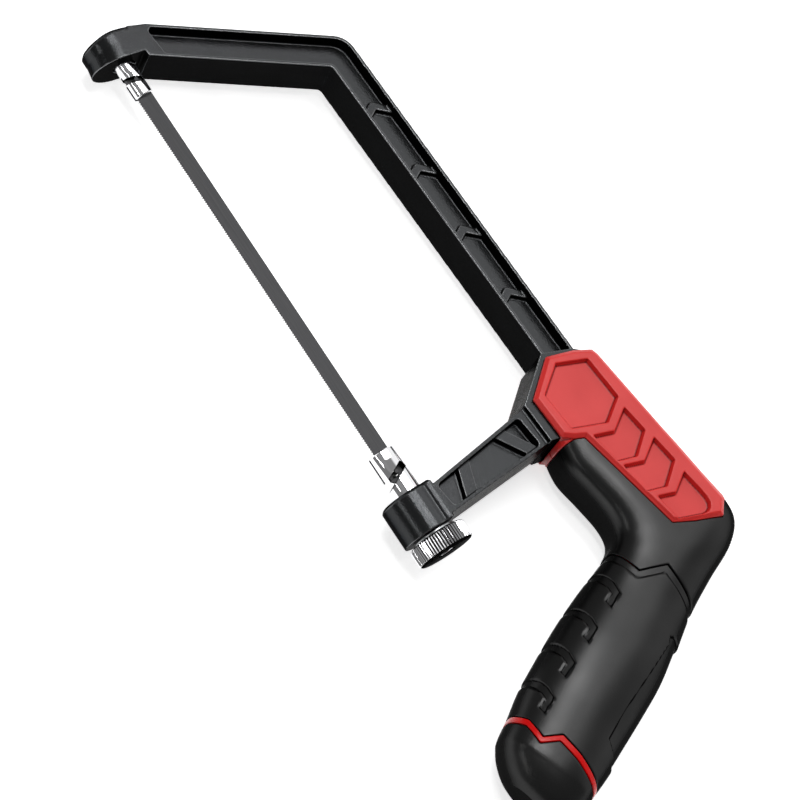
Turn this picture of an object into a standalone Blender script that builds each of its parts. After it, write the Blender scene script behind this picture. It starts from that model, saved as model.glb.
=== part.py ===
"""Junior hacksaw with a die-cast bow frame, pinned blade and offset pistol grip.

Design frame: metres, origin on the front blade pin, +X along the blade towards the handle,
+Y from the blade to the spine, +Z square to the side of the saw. The saw is modelled round
this frame and then laid on its far side, so that the box round it stands on z = 0.

The bow is one casting: front boss, front arm, spine, hub, rear arm, rear boss and a tang.
The blade hangs by its cross pins in two notched holders. The front holder turns in its boss,
and the rear one is a stud that the knurled knob draws back through a keyed washer.
The handle is two red halves clamped on the hub and tang, with black sleeves over them.
"""
import math

import bmesh
import bpy
from mathutils import Matrix, Vector

for leftover in list(bpy.data.objects):
    bpy.data.objects.remove(leftover, do_unlink=True)

# Clearances
SEAT_GAP = 0.0003          # between pieces that rest on or clasp each other
RUN_GAP = 0.0002           # round a small pin, screw or stud in its hole
CUT_OVERRUN = 0.002        # how far a cutter reaches past the surface it opens
KEEP_REACH = 0.2           # half the side of a square that keeps one half of the saw

# Blade and its cross pins
PIN_SPACING = 0.146
BLADE_END = 0.0025         # blade beyond each pin
BLADE_WIDTH = 0.0054
BLADE_THICKNESS = 0.00065
BLADE_CHAMFER = 0.0008
TOOTH_PITCH = 0.0008
TOOTH_DEPTH = 0.00045
TOOTH_GULLET = 0.0002      # from a tooth's steep face to the gullet's floor
TOOTH_MARGIN = 0.008       # plain edge at each end
PIN_RADIUS = 0.00075
PIN_LENGTH = 0.0056

# Blade holders
FRONT_HEAD_RADIUS = 0.0031
FRONT_HEAD_REACH = 0.0054  # from the pin to the holder's blade end
REAR_HEAD_RADIUS = 0.0046
REAR_HEAD_REACH = 0.0075
STUD_RADIUS = 0.0025
STUD_FLAT = 0.0004         # depth of the flat along the rear stud
HEAD_CHAMFER = 0.0003
SLOT_MARGIN = 0.0003       # each side of the blade in a holder's slot
SLOT_END_GAP = 0.0006      # between the blade's end and the slot's end
FRONT_NOTCH_LEAN = math.radians(20)
REAR_NOTCH_LEAN = math.radians(28)
FRONT_NOTCH_REACH = 0.0024 # from the pin's centre to the notch's closed end
REAR_NOTCH_REACH = 0.0030
NOTCH_CORNER_SHARE = 0.6   # rounding of a notch's closed end, as a share of its half width

# Tension screw
THREAD_PITCH = 0.0008
TENSION_TRAVEL = THREAD_PITCH          # one turn of the knob
KNOB_RADIUS = 0.0095
KNOB_LENGTH = 0.006
KNOB_CHAMFER = 0.0006
KNURL_COUNT = 60
KNURL_DEPTH = 0.0004
KNOB_FACE_INSET = 0.0005   # how far the stud's end lies inside the knob's face
THRUST_WASHER_RADIUS = 0.007
WASHER_THICKNESS = 0.0006

# Front boss and what holds the front holder in it
FRONT_BOSS_SETBACK = 0.0102     # from the front pin to the boss's centre
FRONT_BOSS_LENGTH = 0.0083
FRONT_BOSS_DROP = 0.0005        # boss's centre below the blade axis
FRONT_BOSS_TOP = 0.0076         # boss's flat top above its centre
FRONT_BOSS_CHAMFER = 0.0010      # round the outer end
FRONT_BOSS_LEAN = math.radians(-10)
FRONT_BORE_GAP = 0.0006
COUNTERBORE_RADIUS = 0.0052
COUNTERBORE_DEPTH = 0.0031
BULKHEAD = 0.0026               # wall that the holder's shoulder bears on
CLIP_RADIUS = 0.00425
CLIP_THICKNESS = 0.0006
CLIP_OPENING = math.radians(70)
CLIP_GROOVE_DEPTH = 0.0007

# Bow frame
FRAME_THICKNESS = 0.0192
BOW_HEIGHT = 0.0585             # blade axis to the bend's centre line
ARM_DEPTH = 0.0104              # depth of the front arm
SPINE_DEPTH = 0.0098            # depth of the spine
FRONT_ARM_ANGLE = math.radians(57.5)
FRONT_ARM_FOOT = -0.0023        # arm's centre line from the boss's centre, at the blade axis
BEND_OUTER_RADIUS = 0.008
BEND_INNER_RADIUS = 0.002
RIM = 0.001                     # rim round the recesses of the front arm and spine
RECESS_DEPTH = 0.0056
RECESS_CORNER_RADIUS = 0.0012
FRONT_RECESS_START = 0.0097     # height of the front arm's recess above the blade axis
CHEVRON_COUNT = 4
CHEVRON_PITCH = 0.0239
CHEVRON_START = 0.0211          # first chevron's inner point from the bend
CHEVRON_WIDTH = 0.0031
CHEVRON_HEIGHT = 0.0023
CHEVRON_INNER_SWEEP = 0.5       # how far each limb runs along the spine for each unit across
CHEVRON_OUTER_SWEEP = 0.95

# Rear boss and arm
REAR_BOSS_GAP = 0.0078          # from the rear pin to the boss
REAR_BOSS_LENGTH = 0.0138
REAR_BOSS_CHAMFER = 0.0009      # round the end towards the blade
REAR_BOSS_RADIUS = 0.0095
REAR_BOSS_DROP = 0.0008         # boss's round side is centred below the blade axis
REAR_BORE_GAP = 0.0003
REAR_BORE_DEPTH = 0.0097
STUD_HOLE_GAP = 0.0002
BEAD_RADIUS = 0.00415           # rounding between the boss and the arm
BEAD_HEIGHT = 0.0043
REAR_BOSS_TOP = 0.0051          # boss's flat top above the blade axis
BOSS_EDGE = 0.0005              # chamfer along the rear boss's top edges
REAR_BOSS_STEPS = 24
BEAD_STEPS = 5
REAR_ARM_FOOT_WIDTH = 0.0107
REAR_ARM_TOP_WIDTH = 0.0132
REAR_ARM_STOP = 0.010              # the rear arm ends this far below the hub's centre
REAR_ARM_FOOT_HEIGHT = 0.0062
REAR_ARM_TOP_HEIGHT = 0.0431
REAR_ARM_FOOT_OFFSET = 0.00725  # arm's centre line from the boss's front face, at its foot
REAR_ARM_TOP_OFFSET = 0.00305
REAR_RIM = 0.0012
REAR_RECESS_DEPTH = 0.0045
REAR_RECESS_START = 0.0057
REAR_RECESS_END = 0.0398
REAR_RIB_HEIGHT = 0.0029
REAR_RIB_WIDTH = 0.0044
REAR_RIBS = ((0.0151, 0.0116), (0.0300, 0.0368))   # heights of each rib's two ends

# Hub and tang, placed from the rear pin and the bend
HUB_SETBACK = 0.0101
HUB_RISE = 0.0007
HUB_THICKNESS = 0.0244
SPINE_RISE = 0.004              # spine's centre line above the hub's centre, at the hub
SPINE_END = -0.008
TANG_THICKNESS = 0.008
TANG_LENGTH = 0.049
TANG_ROOT_WIDTH = 0.014
TANG_TIP_WIDTH = 0.011
PANEL_SLOPE = math.radians(11.9)

# Handle
PANEL_THICKNESS = 0.0296        # across both red panels
PANEL_BEVEL = 0.0012
PANEL_RECESS_DEPTH = 0.001
SLEEVE_THICKNESS = 0.0026
SECTION_POINTS = 32
CORE_POINTS = 24
CORE_SPANS = 15                 # how many spans between sections the red core fills
CORE_END_GAP = 0.1              # share of a span left free beyond the core
BAND_WIDTH = 0.0022             # red collar between the hub and the black sleeve

# Handle screws
SCREW_RADIUS = 0.0015
SCREW_HEAD_RADIUS = 0.0028
SCREW_HEAD_HEIGHT = 0.0007
SCREW_CROWN_SHARE = 0.86   # the head's edge radius against its full radius
HUB_SCREW_DEPTH = 0.010
CORE_SCREW_REACH = 0.008        # past the mid-plane into the near half

# Worked-out places
HALF_FRAME = FRAME_THICKNESS / 2
HALF_HUB = HUB_THICKNESS / 2
HALF_PANEL = PANEL_THICKNESS / 2
FRONT_BOSS_X = -FRONT_BOSS_SETBACK
REAR_BOSS_X = PIN_SPACING + REAR_BOSS_GAP
REAR_BOSS_END_X = REAR_BOSS_X + REAR_BOSS_LENGTH
WASHER_X = REAR_BOSS_END_X + SEAT_GAP
KNOB_X = WASHER_X + WASHER_THICKNESS + SEAT_GAP
KNOB_END_X = KNOB_X + KNOB_LENGTH
BEND = Vector((FRONT_BOSS_X + FRONT_ARM_FOOT + BOW_HEIGHT / math.tan(FRONT_ARM_ANGLE), BOW_HEIGHT))
HUB = Vector((PIN_SPACING + HUB_SETBACK, BOW_HEIGHT + HUB_RISE))

# Hub outline from the hub's centre; the last side lies under the handle
HUB_OUTLINE = (
    (-0.0173, -0.0024), (-0.0061, -0.0164), (0.0075, -0.0157), (0.0082, -0.0118),
    (0.0082, 0.0108), (-0.0086, 0.0108), (-0.0101, 0.0116), (-0.0137, 0.0073),
)
# Red panel outline from the hub's centre
PANEL_OUTLINE = (
    (-0.0059, -0.0136), (-0.0153, -0.0023), (-0.0129, 0.0064), (-0.0101, 0.0119),
    (-0.0081, 0.0126), (0.0501, 0.0206), (0.0544, 0.0172), (0.0513, 0.0085),
    (0.0481, 0.0019), (0.0121, -0.0064), (0.0107, -0.0095), (0.0084, -0.0127),
)
HEXAGON_OUTLINE = (
    (-0.0119, -0.0012), (-0.0081, 0.0085), (0.0066, 0.0099), (0.0119, 0.0023),
    (0.0078, -0.0088), (-0.0052, -0.0100),
)
# One arrow-shaped recess, from its own middle, pointing down the handle
ARROW_OUTLINE = (
    (-0.0087, 0.0055), (0.0005, 0.0070), (0.0062, 0.0000), (0.0044, -0.0062),
    (-0.0062, -0.0082), (-0.0040, -0.0015),
)
ARROW_START = 0.0196
ARROW_PITCH = 0.01285
ARROW_COUNT = 3
LAST_ARROW_SHRINK = 0.86

# Handle sections from the hub's centre: front point, back point, half thickness, squareness
HANDLE_SECTIONS = (
    ((0.0085, -0.0134), (0.0085, 0.0170), 0.0140, 4.5),
    ((0.0170, -0.0147), (0.0168, 0.0184), 0.0140, 4.5),
    ((0.0260, -0.0132), (0.0278, 0.0202), 0.0140, 4.5),
    ((0.0344, -0.0121), (0.0398, 0.0220), 0.0140, 4.2),
    ((0.0399, -0.0127), (0.0488, 0.0238), 0.0140, 3.8),
    ((0.0431, -0.0148), (0.0568, 0.0232), 0.0140, 3.4),
    ((0.0453, -0.0184), (0.0629, 0.0173), 0.0140, 3.0),
    ((0.0469, -0.0224), (0.0682, 0.0062), 0.0138, 2.7),
    ((0.0486, -0.0277), (0.0747, -0.0060), 0.0138, 2.5),
    ((0.0512, -0.0347), (0.0823, -0.0171), 0.0143, 2.4),
    ((0.0553, -0.0444), (0.0884, -0.0266), 0.0148, 2.4),
    ((0.0604, -0.0548), (0.0934, -0.0368), 0.0148, 2.4),
    ((0.0654, -0.0644), (0.0980, -0.0469), 0.0145, 2.4),
    ((0.0706, -0.0722), (0.1021, -0.0562), 0.0143, 2.5),
    ((0.0743, -0.0782), (0.1053, -0.0647), 0.0142, 2.6),
    ((0.0762, -0.0800), (0.1066, -0.0686), 0.0136, 2.6),
    ((0.0795, -0.0820), (0.1071, -0.0730), 0.0122, 2.6),
    ((0.0840, -0.0836), (0.1063, -0.0776), 0.0098, 2.6),
    ((0.0885, -0.0843), (0.1038, -0.0806), 0.0065, 2.6),
)
# Zigzag joint between the two black sleeves, and the two edges of the red ring
GRIP_SLOPE = math.radians(-60)      # direction down the grip
SEAM_LINE = (
    (0.0300, -0.0215), (0.0455, -0.0180), (0.0551, -0.0157), (0.0582, -0.0069),
    (0.0720, -0.0057), (0.1000, -0.0080),
)
RING_LINE = (
    (0.0600, -0.0760), (0.0730, -0.0734), (0.0760, -0.0720), (0.0828, -0.0722),
    (0.0856, -0.0667), (0.0930, -0.0653), (0.1020, -0.0646), (0.1200, -0.0636),
)
RING_WIDTH = 0.0022


def make_material(name, colour, roughness, metallic):
    """Make a Principled material of one colour."""
    material = bpy.data.materials.new(name)
    material.use_nodes = True
    shader = material.node_tree.nodes["Principled BSDF"]
    shader.inputs["Base Color"].default_value = (*colour, 1.0)
    shader.inputs["Roughness"].default_value = roughness
    shader.inputs["Metallic"].default_value = metallic
    material.diffuse_color = (*colour, 1.0)
    return material


def object_from(name, mesh_builder, material=None):
    """Turn a bmesh into a linked object with its faces pointing out."""
    bmesh.ops.recalc_face_normals(mesh_builder, faces=mesh_builder.faces)
    mesh = bpy.data.meshes.new(name)
    mesh_builder.to_mesh(mesh)
    mesh_builder.free()
    made = bpy.data.objects.new(name, mesh)
    bpy.context.scene.collection.objects.link(made)
    if material is not None:
        mesh.materials.append(material)
    return made


def loft(rings, name="form", material=None):
    """Join closed rings of equally many points into one closed solid."""
    shape = bmesh.new()
    layers = [[shape.verts.new(point) for point in ring] for ring in rings]
    count = len(layers[0])
    for lower, upper in zip(layers, layers[1:]):
        for i in range(count):
            j = (i + 1) % count
            shape.faces.new((lower[i], lower[j], upper[j], upper[i]))
    shape.faces.new(reversed(layers[0]))
    shape.faces.new(layers[-1])
    return object_from(name, shape, material)


def plate(outline, low, high, name="form", material=None):
    """Extrude a side-view outline between two levels of z."""
    rings = [[(x, y, level) for x, y in outline] for level in (low, high)]
    return loft(rings, name, material)


def bar_along_x(outline, low, high, name="form", material=None):
    """Extrude an outline of (y, z) points between two places on x."""
    rings = [[(level, y, z) for y, z in outline] for level in (low, high)]
    return loft(rings, name, material)


def turned(profile, sides, name="form", material=None, spin=0.0):
    """Turn a profile of (x, radius) points about the blade axis; its ends lie on the axis."""
    inner = profile[1:-1]
    shape = bmesh.new()
    layers = []
    for x, radius in inner:
        layers.append([shape.verts.new((x, *circle_point(radius, spin + math.tau * i / sides)))
                       for i in range(sides)])
    for lower, upper in zip(layers, layers[1:]):
        for i in range(sides):
            j = (i + 1) % sides
            shape.faces.new((lower[i], lower[j], upper[j], upper[i]))
    shape.faces.new(reversed(layers[0]))
    shape.faces.new(layers[-1])
    return object_from(name, shape, material)


def circle_point(radius, angle):
    """Give the point of a circle at an angle."""
    return radius * math.cos(angle), radius * math.sin(angle)


def rod(low, high, radius, sides, centre=(0.0, 0.0)):
    """Make a plain round bar along x."""
    ring = [circle_point(radius, math.tau * (i + 0.5) / sides) for i in range(sides)]
    return bar_along_x([(centre[0] + y, centre[1] + z) for y, z in ring], low, high)


def pin_through(x, y, low, high, radius, sides):
    """Make a plain round bar along z."""
    ring = [circle_point(radius, math.tau * (i + 0.5) / sides) for i in range(sides)]
    return plate([(x + dx, y + dy) for dx, dy in ring], low, high)


def combine(target, tool, operation):
    """Apply one boolean step to the target and remove the tool."""
    step = target.modifiers.new(operation.lower(), "BOOLEAN")
    step.operation = operation
    step.solver = "EXACT"
    step.object = tool
    bpy.context.view_layer.update()
    graph = bpy.context.evaluated_depsgraph_get()
    result = bpy.data.meshes.new_from_object(target.evaluated_get(graph))
    target.modifiers.remove(step)
    target.data = result
    bpy.data.objects.remove(tool, do_unlink=True)


def cut(target, *tools):
    """Take each tool away from the target."""
    for tool in tools:
        combine(target, tool, "DIFFERENCE")


def join(target, *pieces):
    """Fuse each piece into the target."""
    for piece in pieces:
        combine(target, piece, "UNION")


def keep_inside(target, tool):
    """Keep what the target shares with the tool."""
    combine(target, tool, "INTERSECT")


def moved(outline, origin):
    """Shift an outline from a local origin into the design frame."""
    return [(origin[0] + x, origin[1] + y) for x, y in outline]


def offset_outline(outline, distance):
    """Move each side of a closed outline outwards by a distance, with square corners."""
    points = [Vector(point) for point in outline]
    area = sum(a.x * b.y - b.x * a.y for a, b in zip(points, points[1:] + points[:1]))
    side = math.copysign(1.0, area)
    result = []
    for i, point in enumerate(points):
        before = (point - points[i - 1]).normalized()
        after = (points[(i + 1) % len(points)] - point).normalized()
        out_before = Vector((before.y, -before.x)) * side
        out_after = Vector((after.y, -after.x)) * side
        mitre = (out_before + out_after) / (1.0 + out_before.dot(out_after))
        result.append(point + mitre * distance)
    return [(point.x, point.y) for point in result]


def rounded(corners, steps=5):
    """Round a closed outline: corners is a list of (point, radius), 0 keeps it sharp."""
    result = []
    count = len(corners)
    for i, (point, radius) in enumerate(corners):
        here = Vector(point)
        if radius <= 0.0:
            result.append((here.x, here.y))
            continue
        to_before = (Vector(corners[i - 1][0]) - here).normalized()
        to_after = (Vector(corners[(i + 1) % count][0]) - here).normalized()
        half = to_before.angle(to_after) / 2
        centre = here + (to_before + to_after).normalized() * radius / math.sin(half)
        first = here + to_before * radius / math.tan(half) - centre
        last = here + to_after * radius / math.tan(half) - centre
        sweep = first.angle_signed(last)
        for k in range(steps + 1):
            arm = first.copy()
            arm.rotate(Matrix.Rotation(-sweep * k / steps, 2))
            result.append((centre.x + arm.x, centre.y + arm.y))
    return result


def place(piece, axis_point):
    """Put a moving piece's origin on its joint's axis."""
    origin = Vector(axis_point)
    piece.data.transform(Matrix.Translation(-origin))
    piece.location = origin
    return piece


# ---------------------------------------------------------------- blade

def blade_outline():
    """Trace the blade: a plain back, chamfered ends and a row of teeth facing forwards."""
    left = -BLADE_END
    right = PIN_SPACING + BLADE_END
    top = BLADE_WIDTH / 2
    tip = -BLADE_WIDTH / 2
    root = tip + TOOTH_DEPTH
    first = left + TOOTH_MARGIN
    teeth = int((right - TOOTH_MARGIN - first) / TOOTH_PITCH)
    points = [(right - BLADE_CHAMFER, tip), (right, tip + BLADE_CHAMFER), (right, top - BLADE_CHAMFER),
              (right - BLADE_CHAMFER, top), (left + BLADE_CHAMFER, top), (left, top - BLADE_CHAMFER),
              (left, tip + BLADE_CHAMFER), (left + BLADE_CHAMFER, tip)]
    for i in range(teeth + 1):
        if i:
            points.append((first + i * TOOTH_PITCH, root))
        points.append((first + i * TOOTH_PITCH, tip))
        if i < teeth:
            points.append((first + i * TOOTH_PITCH + TOOTH_GULLET, root))
    return points


def make_blade(material):
    """Make the toothed blade with a hole for each cross pin."""
    blade = plate(blade_outline(), -BLADE_THICKNESS / 2, BLADE_THICKNESS / 2, "blade", material)
    for x in (0.0, PIN_SPACING):
        hole = pin_through(x, 0.0, -BLADE_THICKNESS, BLADE_THICKNESS, PIN_RADIUS + RUN_GAP, 16)
        cut(blade, hole)
    return blade


def make_blade_pin(name, x, material):
    """Make one cross pin."""
    pin = pin_through(x, 0.0, -PIN_LENGTH / 2, PIN_LENGTH / 2, PIN_RADIUS, 16)
    pin.name = name
    pin.data.materials.append(material)
    return pin


def notch_cutter(pin_x, towards, lean, reach, radius, play):
    """Make the leaning notch that a cross pin drops into.

    towards is +1 where the blade pulls the pin to +X and -1 where it pulls it to -X; the
    notch closes on that side above the pin and opens below it. play widens it on the slack side.
    """
    half = PIN_RADIUS + RUN_GAP
    along = Vector((towards * math.sin(lean), math.cos(lean)))
    across = Vector((towards * math.cos(lean), -math.sin(lean)))
    depth = (radius + CUT_OVERRUN) / math.cos(lean) + play
    slack = half + play * math.cos(lean)
    pin = Vector((pin_x, 0.0))
    corners = [
        (pin + across * half - along * depth, 0.0),
        (pin + across * half + along * reach, half * NOTCH_CORNER_SHARE),
        (pin - across * slack + along * reach, half * NOTCH_CORNER_SHARE),
        (pin - across * slack - along * depth, 0.0),
    ]
    return plate(rounded(corners, 3), -radius - CUT_OVERRUN, radius + CUT_OVERRUN)


def make_front_holder(material):
    """Make the front holder: slotted head, shoulder, stud and clip groove."""
    shoulder = front_bulkhead_x() + BULKHEAD + SEAT_GAP
    clip_low, clip_high = front_clip_span()
    groove_low = clip_low - RUN_GAP
    groove_high = clip_high + RUN_GAP
    stud_end = groove_low - CLIP_THICKNESS
    groove_radius = STUD_RADIUS - CLIP_GROOVE_DEPTH
    tip = FRONT_HEAD_REACH
    profile = [
        (stud_end, 0.0), (stud_end, STUD_RADIUS), (groove_low, STUD_RADIUS),
        (groove_low, groove_radius), (groove_high, groove_radius), (groove_high, STUD_RADIUS),
        (shoulder, STUD_RADIUS), (shoulder, FRONT_HEAD_RADIUS), (tip - HEAD_CHAMFER, FRONT_HEAD_RADIUS),
        (tip, FRONT_HEAD_RADIUS - HEAD_CHAMFER), (tip, 0.0),
    ]
    holder = turned(profile, 24, "front_holder", material, math.tau / 48)
    slot_half = BLADE_THICKNESS / 2 + SLOT_MARGIN
    slot_end = -BLADE_END - SLOT_END_GAP
    wide = FRONT_HEAD_RADIUS + CUT_OVERRUN
    slot = plate([(slot_end, -wide), (tip + CUT_OVERRUN, -wide), (tip + CUT_OVERRUN, wide),
                  (slot_end, wide)], -slot_half, slot_half)
    notch = notch_cutter(0.0, 1, FRONT_NOTCH_LEAN, FRONT_NOTCH_REACH, FRONT_HEAD_RADIUS, 0.0)
    cut(holder, slot, notch)
    return holder


def make_rear_holder(material):
    """Make the rear holder: slotted head and the flatted stud that the knob screws on to."""
    tip = PIN_SPACING - REAR_HEAD_REACH
    shoulder = REAR_BOSS_X + REAR_BORE_DEPTH - SEAT_GAP - HEAD_CHAMFER
    end = KNOB_END_X - KNOB_FACE_INSET
    profile = [
        (tip, 0.0), (tip, REAR_HEAD_RADIUS - HEAD_CHAMFER), (tip + HEAD_CHAMFER, REAR_HEAD_RADIUS),
        (shoulder, REAR_HEAD_RADIUS), (shoulder, STUD_RADIUS), (end - HEAD_CHAMFER, STUD_RADIUS),
        (end, STUD_RADIUS - HEAD_CHAMFER), (end, 0.0),
    ]
    holder = turned(profile, 28, "rear_holder", material, math.tau / 56)
    slot_half = BLADE_THICKNESS / 2 + SLOT_MARGIN
    slot_end = PIN_SPACING + BLADE_END + SLOT_END_GAP + TENSION_TRAVEL
    wide = REAR_HEAD_RADIUS + CUT_OVERRUN
    slot = plate([(tip - CUT_OVERRUN, -wide), (slot_end, -wide), (slot_end, wide),
                  (tip - CUT_OVERRUN, wide)], -slot_half, slot_half)
    notch = notch_cutter(PIN_SPACING, -1, REAR_NOTCH_LEAN, REAR_NOTCH_REACH, REAR_HEAD_RADIUS,
                         TENSION_TRAVEL)
    flat_low = STUD_RADIUS - STUD_FLAT
    flat = bar_along_x([(-STUD_RADIUS * 2, flat_low), (STUD_RADIUS * 2, flat_low),
                        (STUD_RADIUS * 2, STUD_RADIUS * 2), (-STUD_RADIUS * 2, STUD_RADIUS * 2)],
                       shoulder + HEAD_CHAMFER, end + CUT_OVERRUN)
    cut(holder, slot, notch, flat)
    return holder


# ---------------------------------------------------------------- front and rear hardware

def front_boss_end_x():
    """Give where the leaning front boss's outer end face crosses the blade axis."""
    return FRONT_BOSS_X - FRONT_BOSS_LENGTH / 2 / math.cos(FRONT_BOSS_LEAN)


def front_bulkhead_x():
    """Give the outer side of the wall that the front holder's shoulder bears on."""
    return front_boss_end_x() + COUNTERBORE_DEPTH


def front_clip_span():
    """Give where the retaining clip lies on x, behind the washer."""
    high = front_bulkhead_x() - 2 * SEAT_GAP - WASHER_THICKNESS
    return high - CLIP_THICKNESS, high


def make_front_washer(material):
    """Make the plain washer in the front boss's counterbore."""
    high = front_bulkhead_x() - SEAT_GAP
    low = high - WASHER_THICKNESS
    washer = rod(low, high, CLIP_RADIUS + RUN_GAP, 24)
    cut(washer, rod(low - CUT_OVERRUN, high + CUT_OVERRUN, STUD_RADIUS + RUN_GAP, 24))
    washer.name = "front_washer"
    washer.data.materials.append(material)
    return washer


def make_retaining_clip(material):
    """Make the open spring clip that sits in the front stud's groove."""
    low, high = front_clip_span()
    inner = STUD_RADIUS - CLIP_GROOVE_DEPTH + RUN_GAP
    start = -math.pi / 2 + CLIP_OPENING / 2
    sweep = math.tau - CLIP_OPENING
    steps = 22
    outer_arc = [circle_point(CLIP_RADIUS, start + sweep * i / steps) for i in range(steps + 1)]
    inner_arc = [circle_point(inner, start + sweep * i / steps) for i in range(steps + 1)]
    return bar_along_x(outer_arc + inner_arc[::-1], low, high, "front_retaining_clip", material)


def make_thrust_washer(material):
    """Make the thrust washer, whose flatted hole keeps it turning with the stud."""
    high = WASHER_X + WASHER_THICKNESS
    washer = rod(WASHER_X, high, THRUST_WASHER_RADIUS, 32)
    hole = rod(WASHER_X - CUT_OVERRUN, high + CUT_OVERRUN, STUD_RADIUS + RUN_GAP, 28)
    key_low = STUD_RADIUS - STUD_FLAT + RUN_GAP
    key = bar_along_x([(-KNOB_RADIUS, key_low), (KNOB_RADIUS, key_low),
                       (KNOB_RADIUS, KNOB_RADIUS), (-KNOB_RADIUS, KNOB_RADIUS)],
                      WASHER_X - 2 * CUT_OVERRUN, high + 2 * CUT_OVERRUN)
    cut(hole, key)
    cut(washer, hole)
    washer.name = "thrust_washer"
    washer.data.materials.append(material)
    return washer


def make_knob(material):
    """Make the straight-knurled tension knob with a through bore."""
    rings = []
    for x, trim in ((KNOB_X, KNOB_CHAMFER), (KNOB_X + KNOB_CHAMFER, 0.0),
                    (KNOB_END_X - KNOB_CHAMFER, 0.0), (KNOB_END_X, KNOB_CHAMFER)):
        ring = []
        for i in range(2 * KNURL_COUNT):
            depth = max(trim, KNURL_DEPTH * (i % 2))
            ring.append((x, *circle_point(KNOB_RADIUS - depth, math.pi * i / KNURL_COUNT)))
        rings.append(ring)
    knob = loft(rings, "tension_knob", material)
    cut(knob, rod(KNOB_X - CUT_OVERRUN, KNOB_END_X + CUT_OVERRUN, STUD_RADIUS + RUN_GAP, 28))
    return knob


# ---------------------------------------------------------------- bow frame

def spine_end():
    """Give where the spine's centre line ends inside the hub."""
    return HUB + Vector((SPINE_END, SPINE_RISE))


def offset_corner(side, arm_out, arm_half, spine_out, spine_half):
    """Give a corner of the bend, off both centre lines to the outer (+1) or inner (-1) side."""
    lean = arm_out.dot(spine_out)
    along_arm_out = (arm_half - spine_half * lean) / (1 - lean ** 2)
    along_spine_out = (spine_half - arm_half * lean) / (1 - lean ** 2)
    return BEND + (arm_out * along_arm_out + spine_out * along_spine_out) * side


def bow_outline(margin, start_height, end_reach):
    """Trace the front arm and spine, drawn in by a margin and starting at a height."""
    arm_half = ARM_DEPTH / 2 - margin
    spine_half = SPINE_DEPTH / 2 - margin
    arm = Vector((math.cos(FRONT_ARM_ANGLE), math.sin(FRONT_ARM_ANGLE)))
    spine = (spine_end() - BEND).normalized()
    foot = BEND - arm * (BEND.y - start_height) / arm.y
    end = spine_end() + spine * end_reach
    arm_out = Vector((-arm.y, arm.x))
    spine_out = Vector((-spine.y, spine.x))
    level = Vector((math.cos(FRONT_BOSS_LEAN / 2), -math.sin(FRONT_BOSS_LEAN / 2)))
    slide = arm_half / arm_out.dot(level)
    corner = RECESS_CORNER_RADIUS if margin else 0.0
    return rounded([
        (foot + level * slide, corner),
        (offset_corner(1, arm_out, arm_half, spine_out, spine_half), BEND_OUTER_RADIUS - margin),
        (end + spine_out * spine_half, 0.0),
        (end - spine_out * spine_half, 0.0),
        (offset_corner(-1, arm_out, arm_half, spine_out, spine_half), BEND_INNER_RADIUS + margin),
        (foot - level * slide, corner),
    ])


def chamfered_bar(outline, low, high, chamfer):
    """Extrude an outline of (y, z) points along x, chamfered round its low end."""
    share = 1.0 - chamfer / HALF_FRAME
    drawn_in = [(y * share, z * share) for y, z in outline]
    rings = [[(x, y, z) for y, z in ring]
             for x, ring in ((low, drawn_in), (low + chamfer, outline), (high, outline))]
    return loft(rings)


def make_front_boss():
    """Make the front boss, round towards the blade side and flat-sided towards the arm."""
    steps = 14
    outline = [circle_point(HALF_FRAME, math.pi / 2 + math.pi * i / steps) for i in range(steps + 1)]
    outline += [(FRONT_BOSS_TOP, -HALF_FRAME), (FRONT_BOSS_TOP, HALF_FRAME)]
    half = FRONT_BOSS_LENGTH / 2
    boss = chamfered_bar(outline, -half, half, FRONT_BOSS_CHAMFER)
    boss.data.transform(Matrix.Translation((FRONT_BOSS_X, -FRONT_BOSS_DROP, 0.0))
                        @ Matrix.Rotation(FRONT_BOSS_LEAN, 4, "Z"))
    return boss


def rear_arm_side(side, height, margin=0.0):
    """Give x of one side of the tapered rear arm at a height; side is -1 or +1."""
    share = (height - REAR_ARM_FOOT_HEIGHT) / (REAR_ARM_TOP_HEIGHT - REAR_ARM_FOOT_HEIGHT)
    middle = REAR_ARM_FOOT_OFFSET + (REAR_ARM_TOP_OFFSET - REAR_ARM_FOOT_OFFSET) * share
    width = REAR_ARM_FOOT_WIDTH + (REAR_ARM_TOP_WIDTH - REAR_ARM_FOOT_WIDTH) * share
    return REAR_BOSS_X + middle + side * (width / 2 - margin)


def rear_arm_outline():
    """Trace the rear arm from inside the rear boss up into the hub."""
    low = BEAD_HEIGHT
    high = HUB.y - REAR_ARM_STOP
    return [(rear_arm_side(-1, low), low), (rear_arm_side(1, low), low),
            (rear_arm_side(1, high), high), (rear_arm_side(-1, high), high)]


def rear_recess_outline():
    """Trace the recess of the rear arm inside its rims."""
    low = REAR_RECESS_START
    high = REAR_RECESS_END
    return rounded([
        ((rear_arm_side(-1, low, REAR_RIM), low), RECESS_CORNER_RADIUS),
        ((rear_arm_side(1, low, REAR_RIM), low + REAR_RIM), RECESS_CORNER_RADIUS),
        ((rear_arm_side(1, high, REAR_RIM), high + REAR_RIM), RECESS_CORNER_RADIUS),
        ((rear_arm_side(-1, high, REAR_RIM), high), RECESS_CORNER_RADIUS),
    ], 3)


def rear_rib_outline(left_height, right_height):
    """Trace a slanting rib that spans the rear recess above two heights."""
    overlap = REAR_RIM / 2
    left = rear_arm_side(-1, left_height, overlap)
    right = rear_arm_side(1, right_height, overlap)
    return [(left, left_height), (right, right_height),
            (right, right_height + REAR_RIB_WIDTH), (left, left_height + REAR_RIB_WIDTH)]


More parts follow.
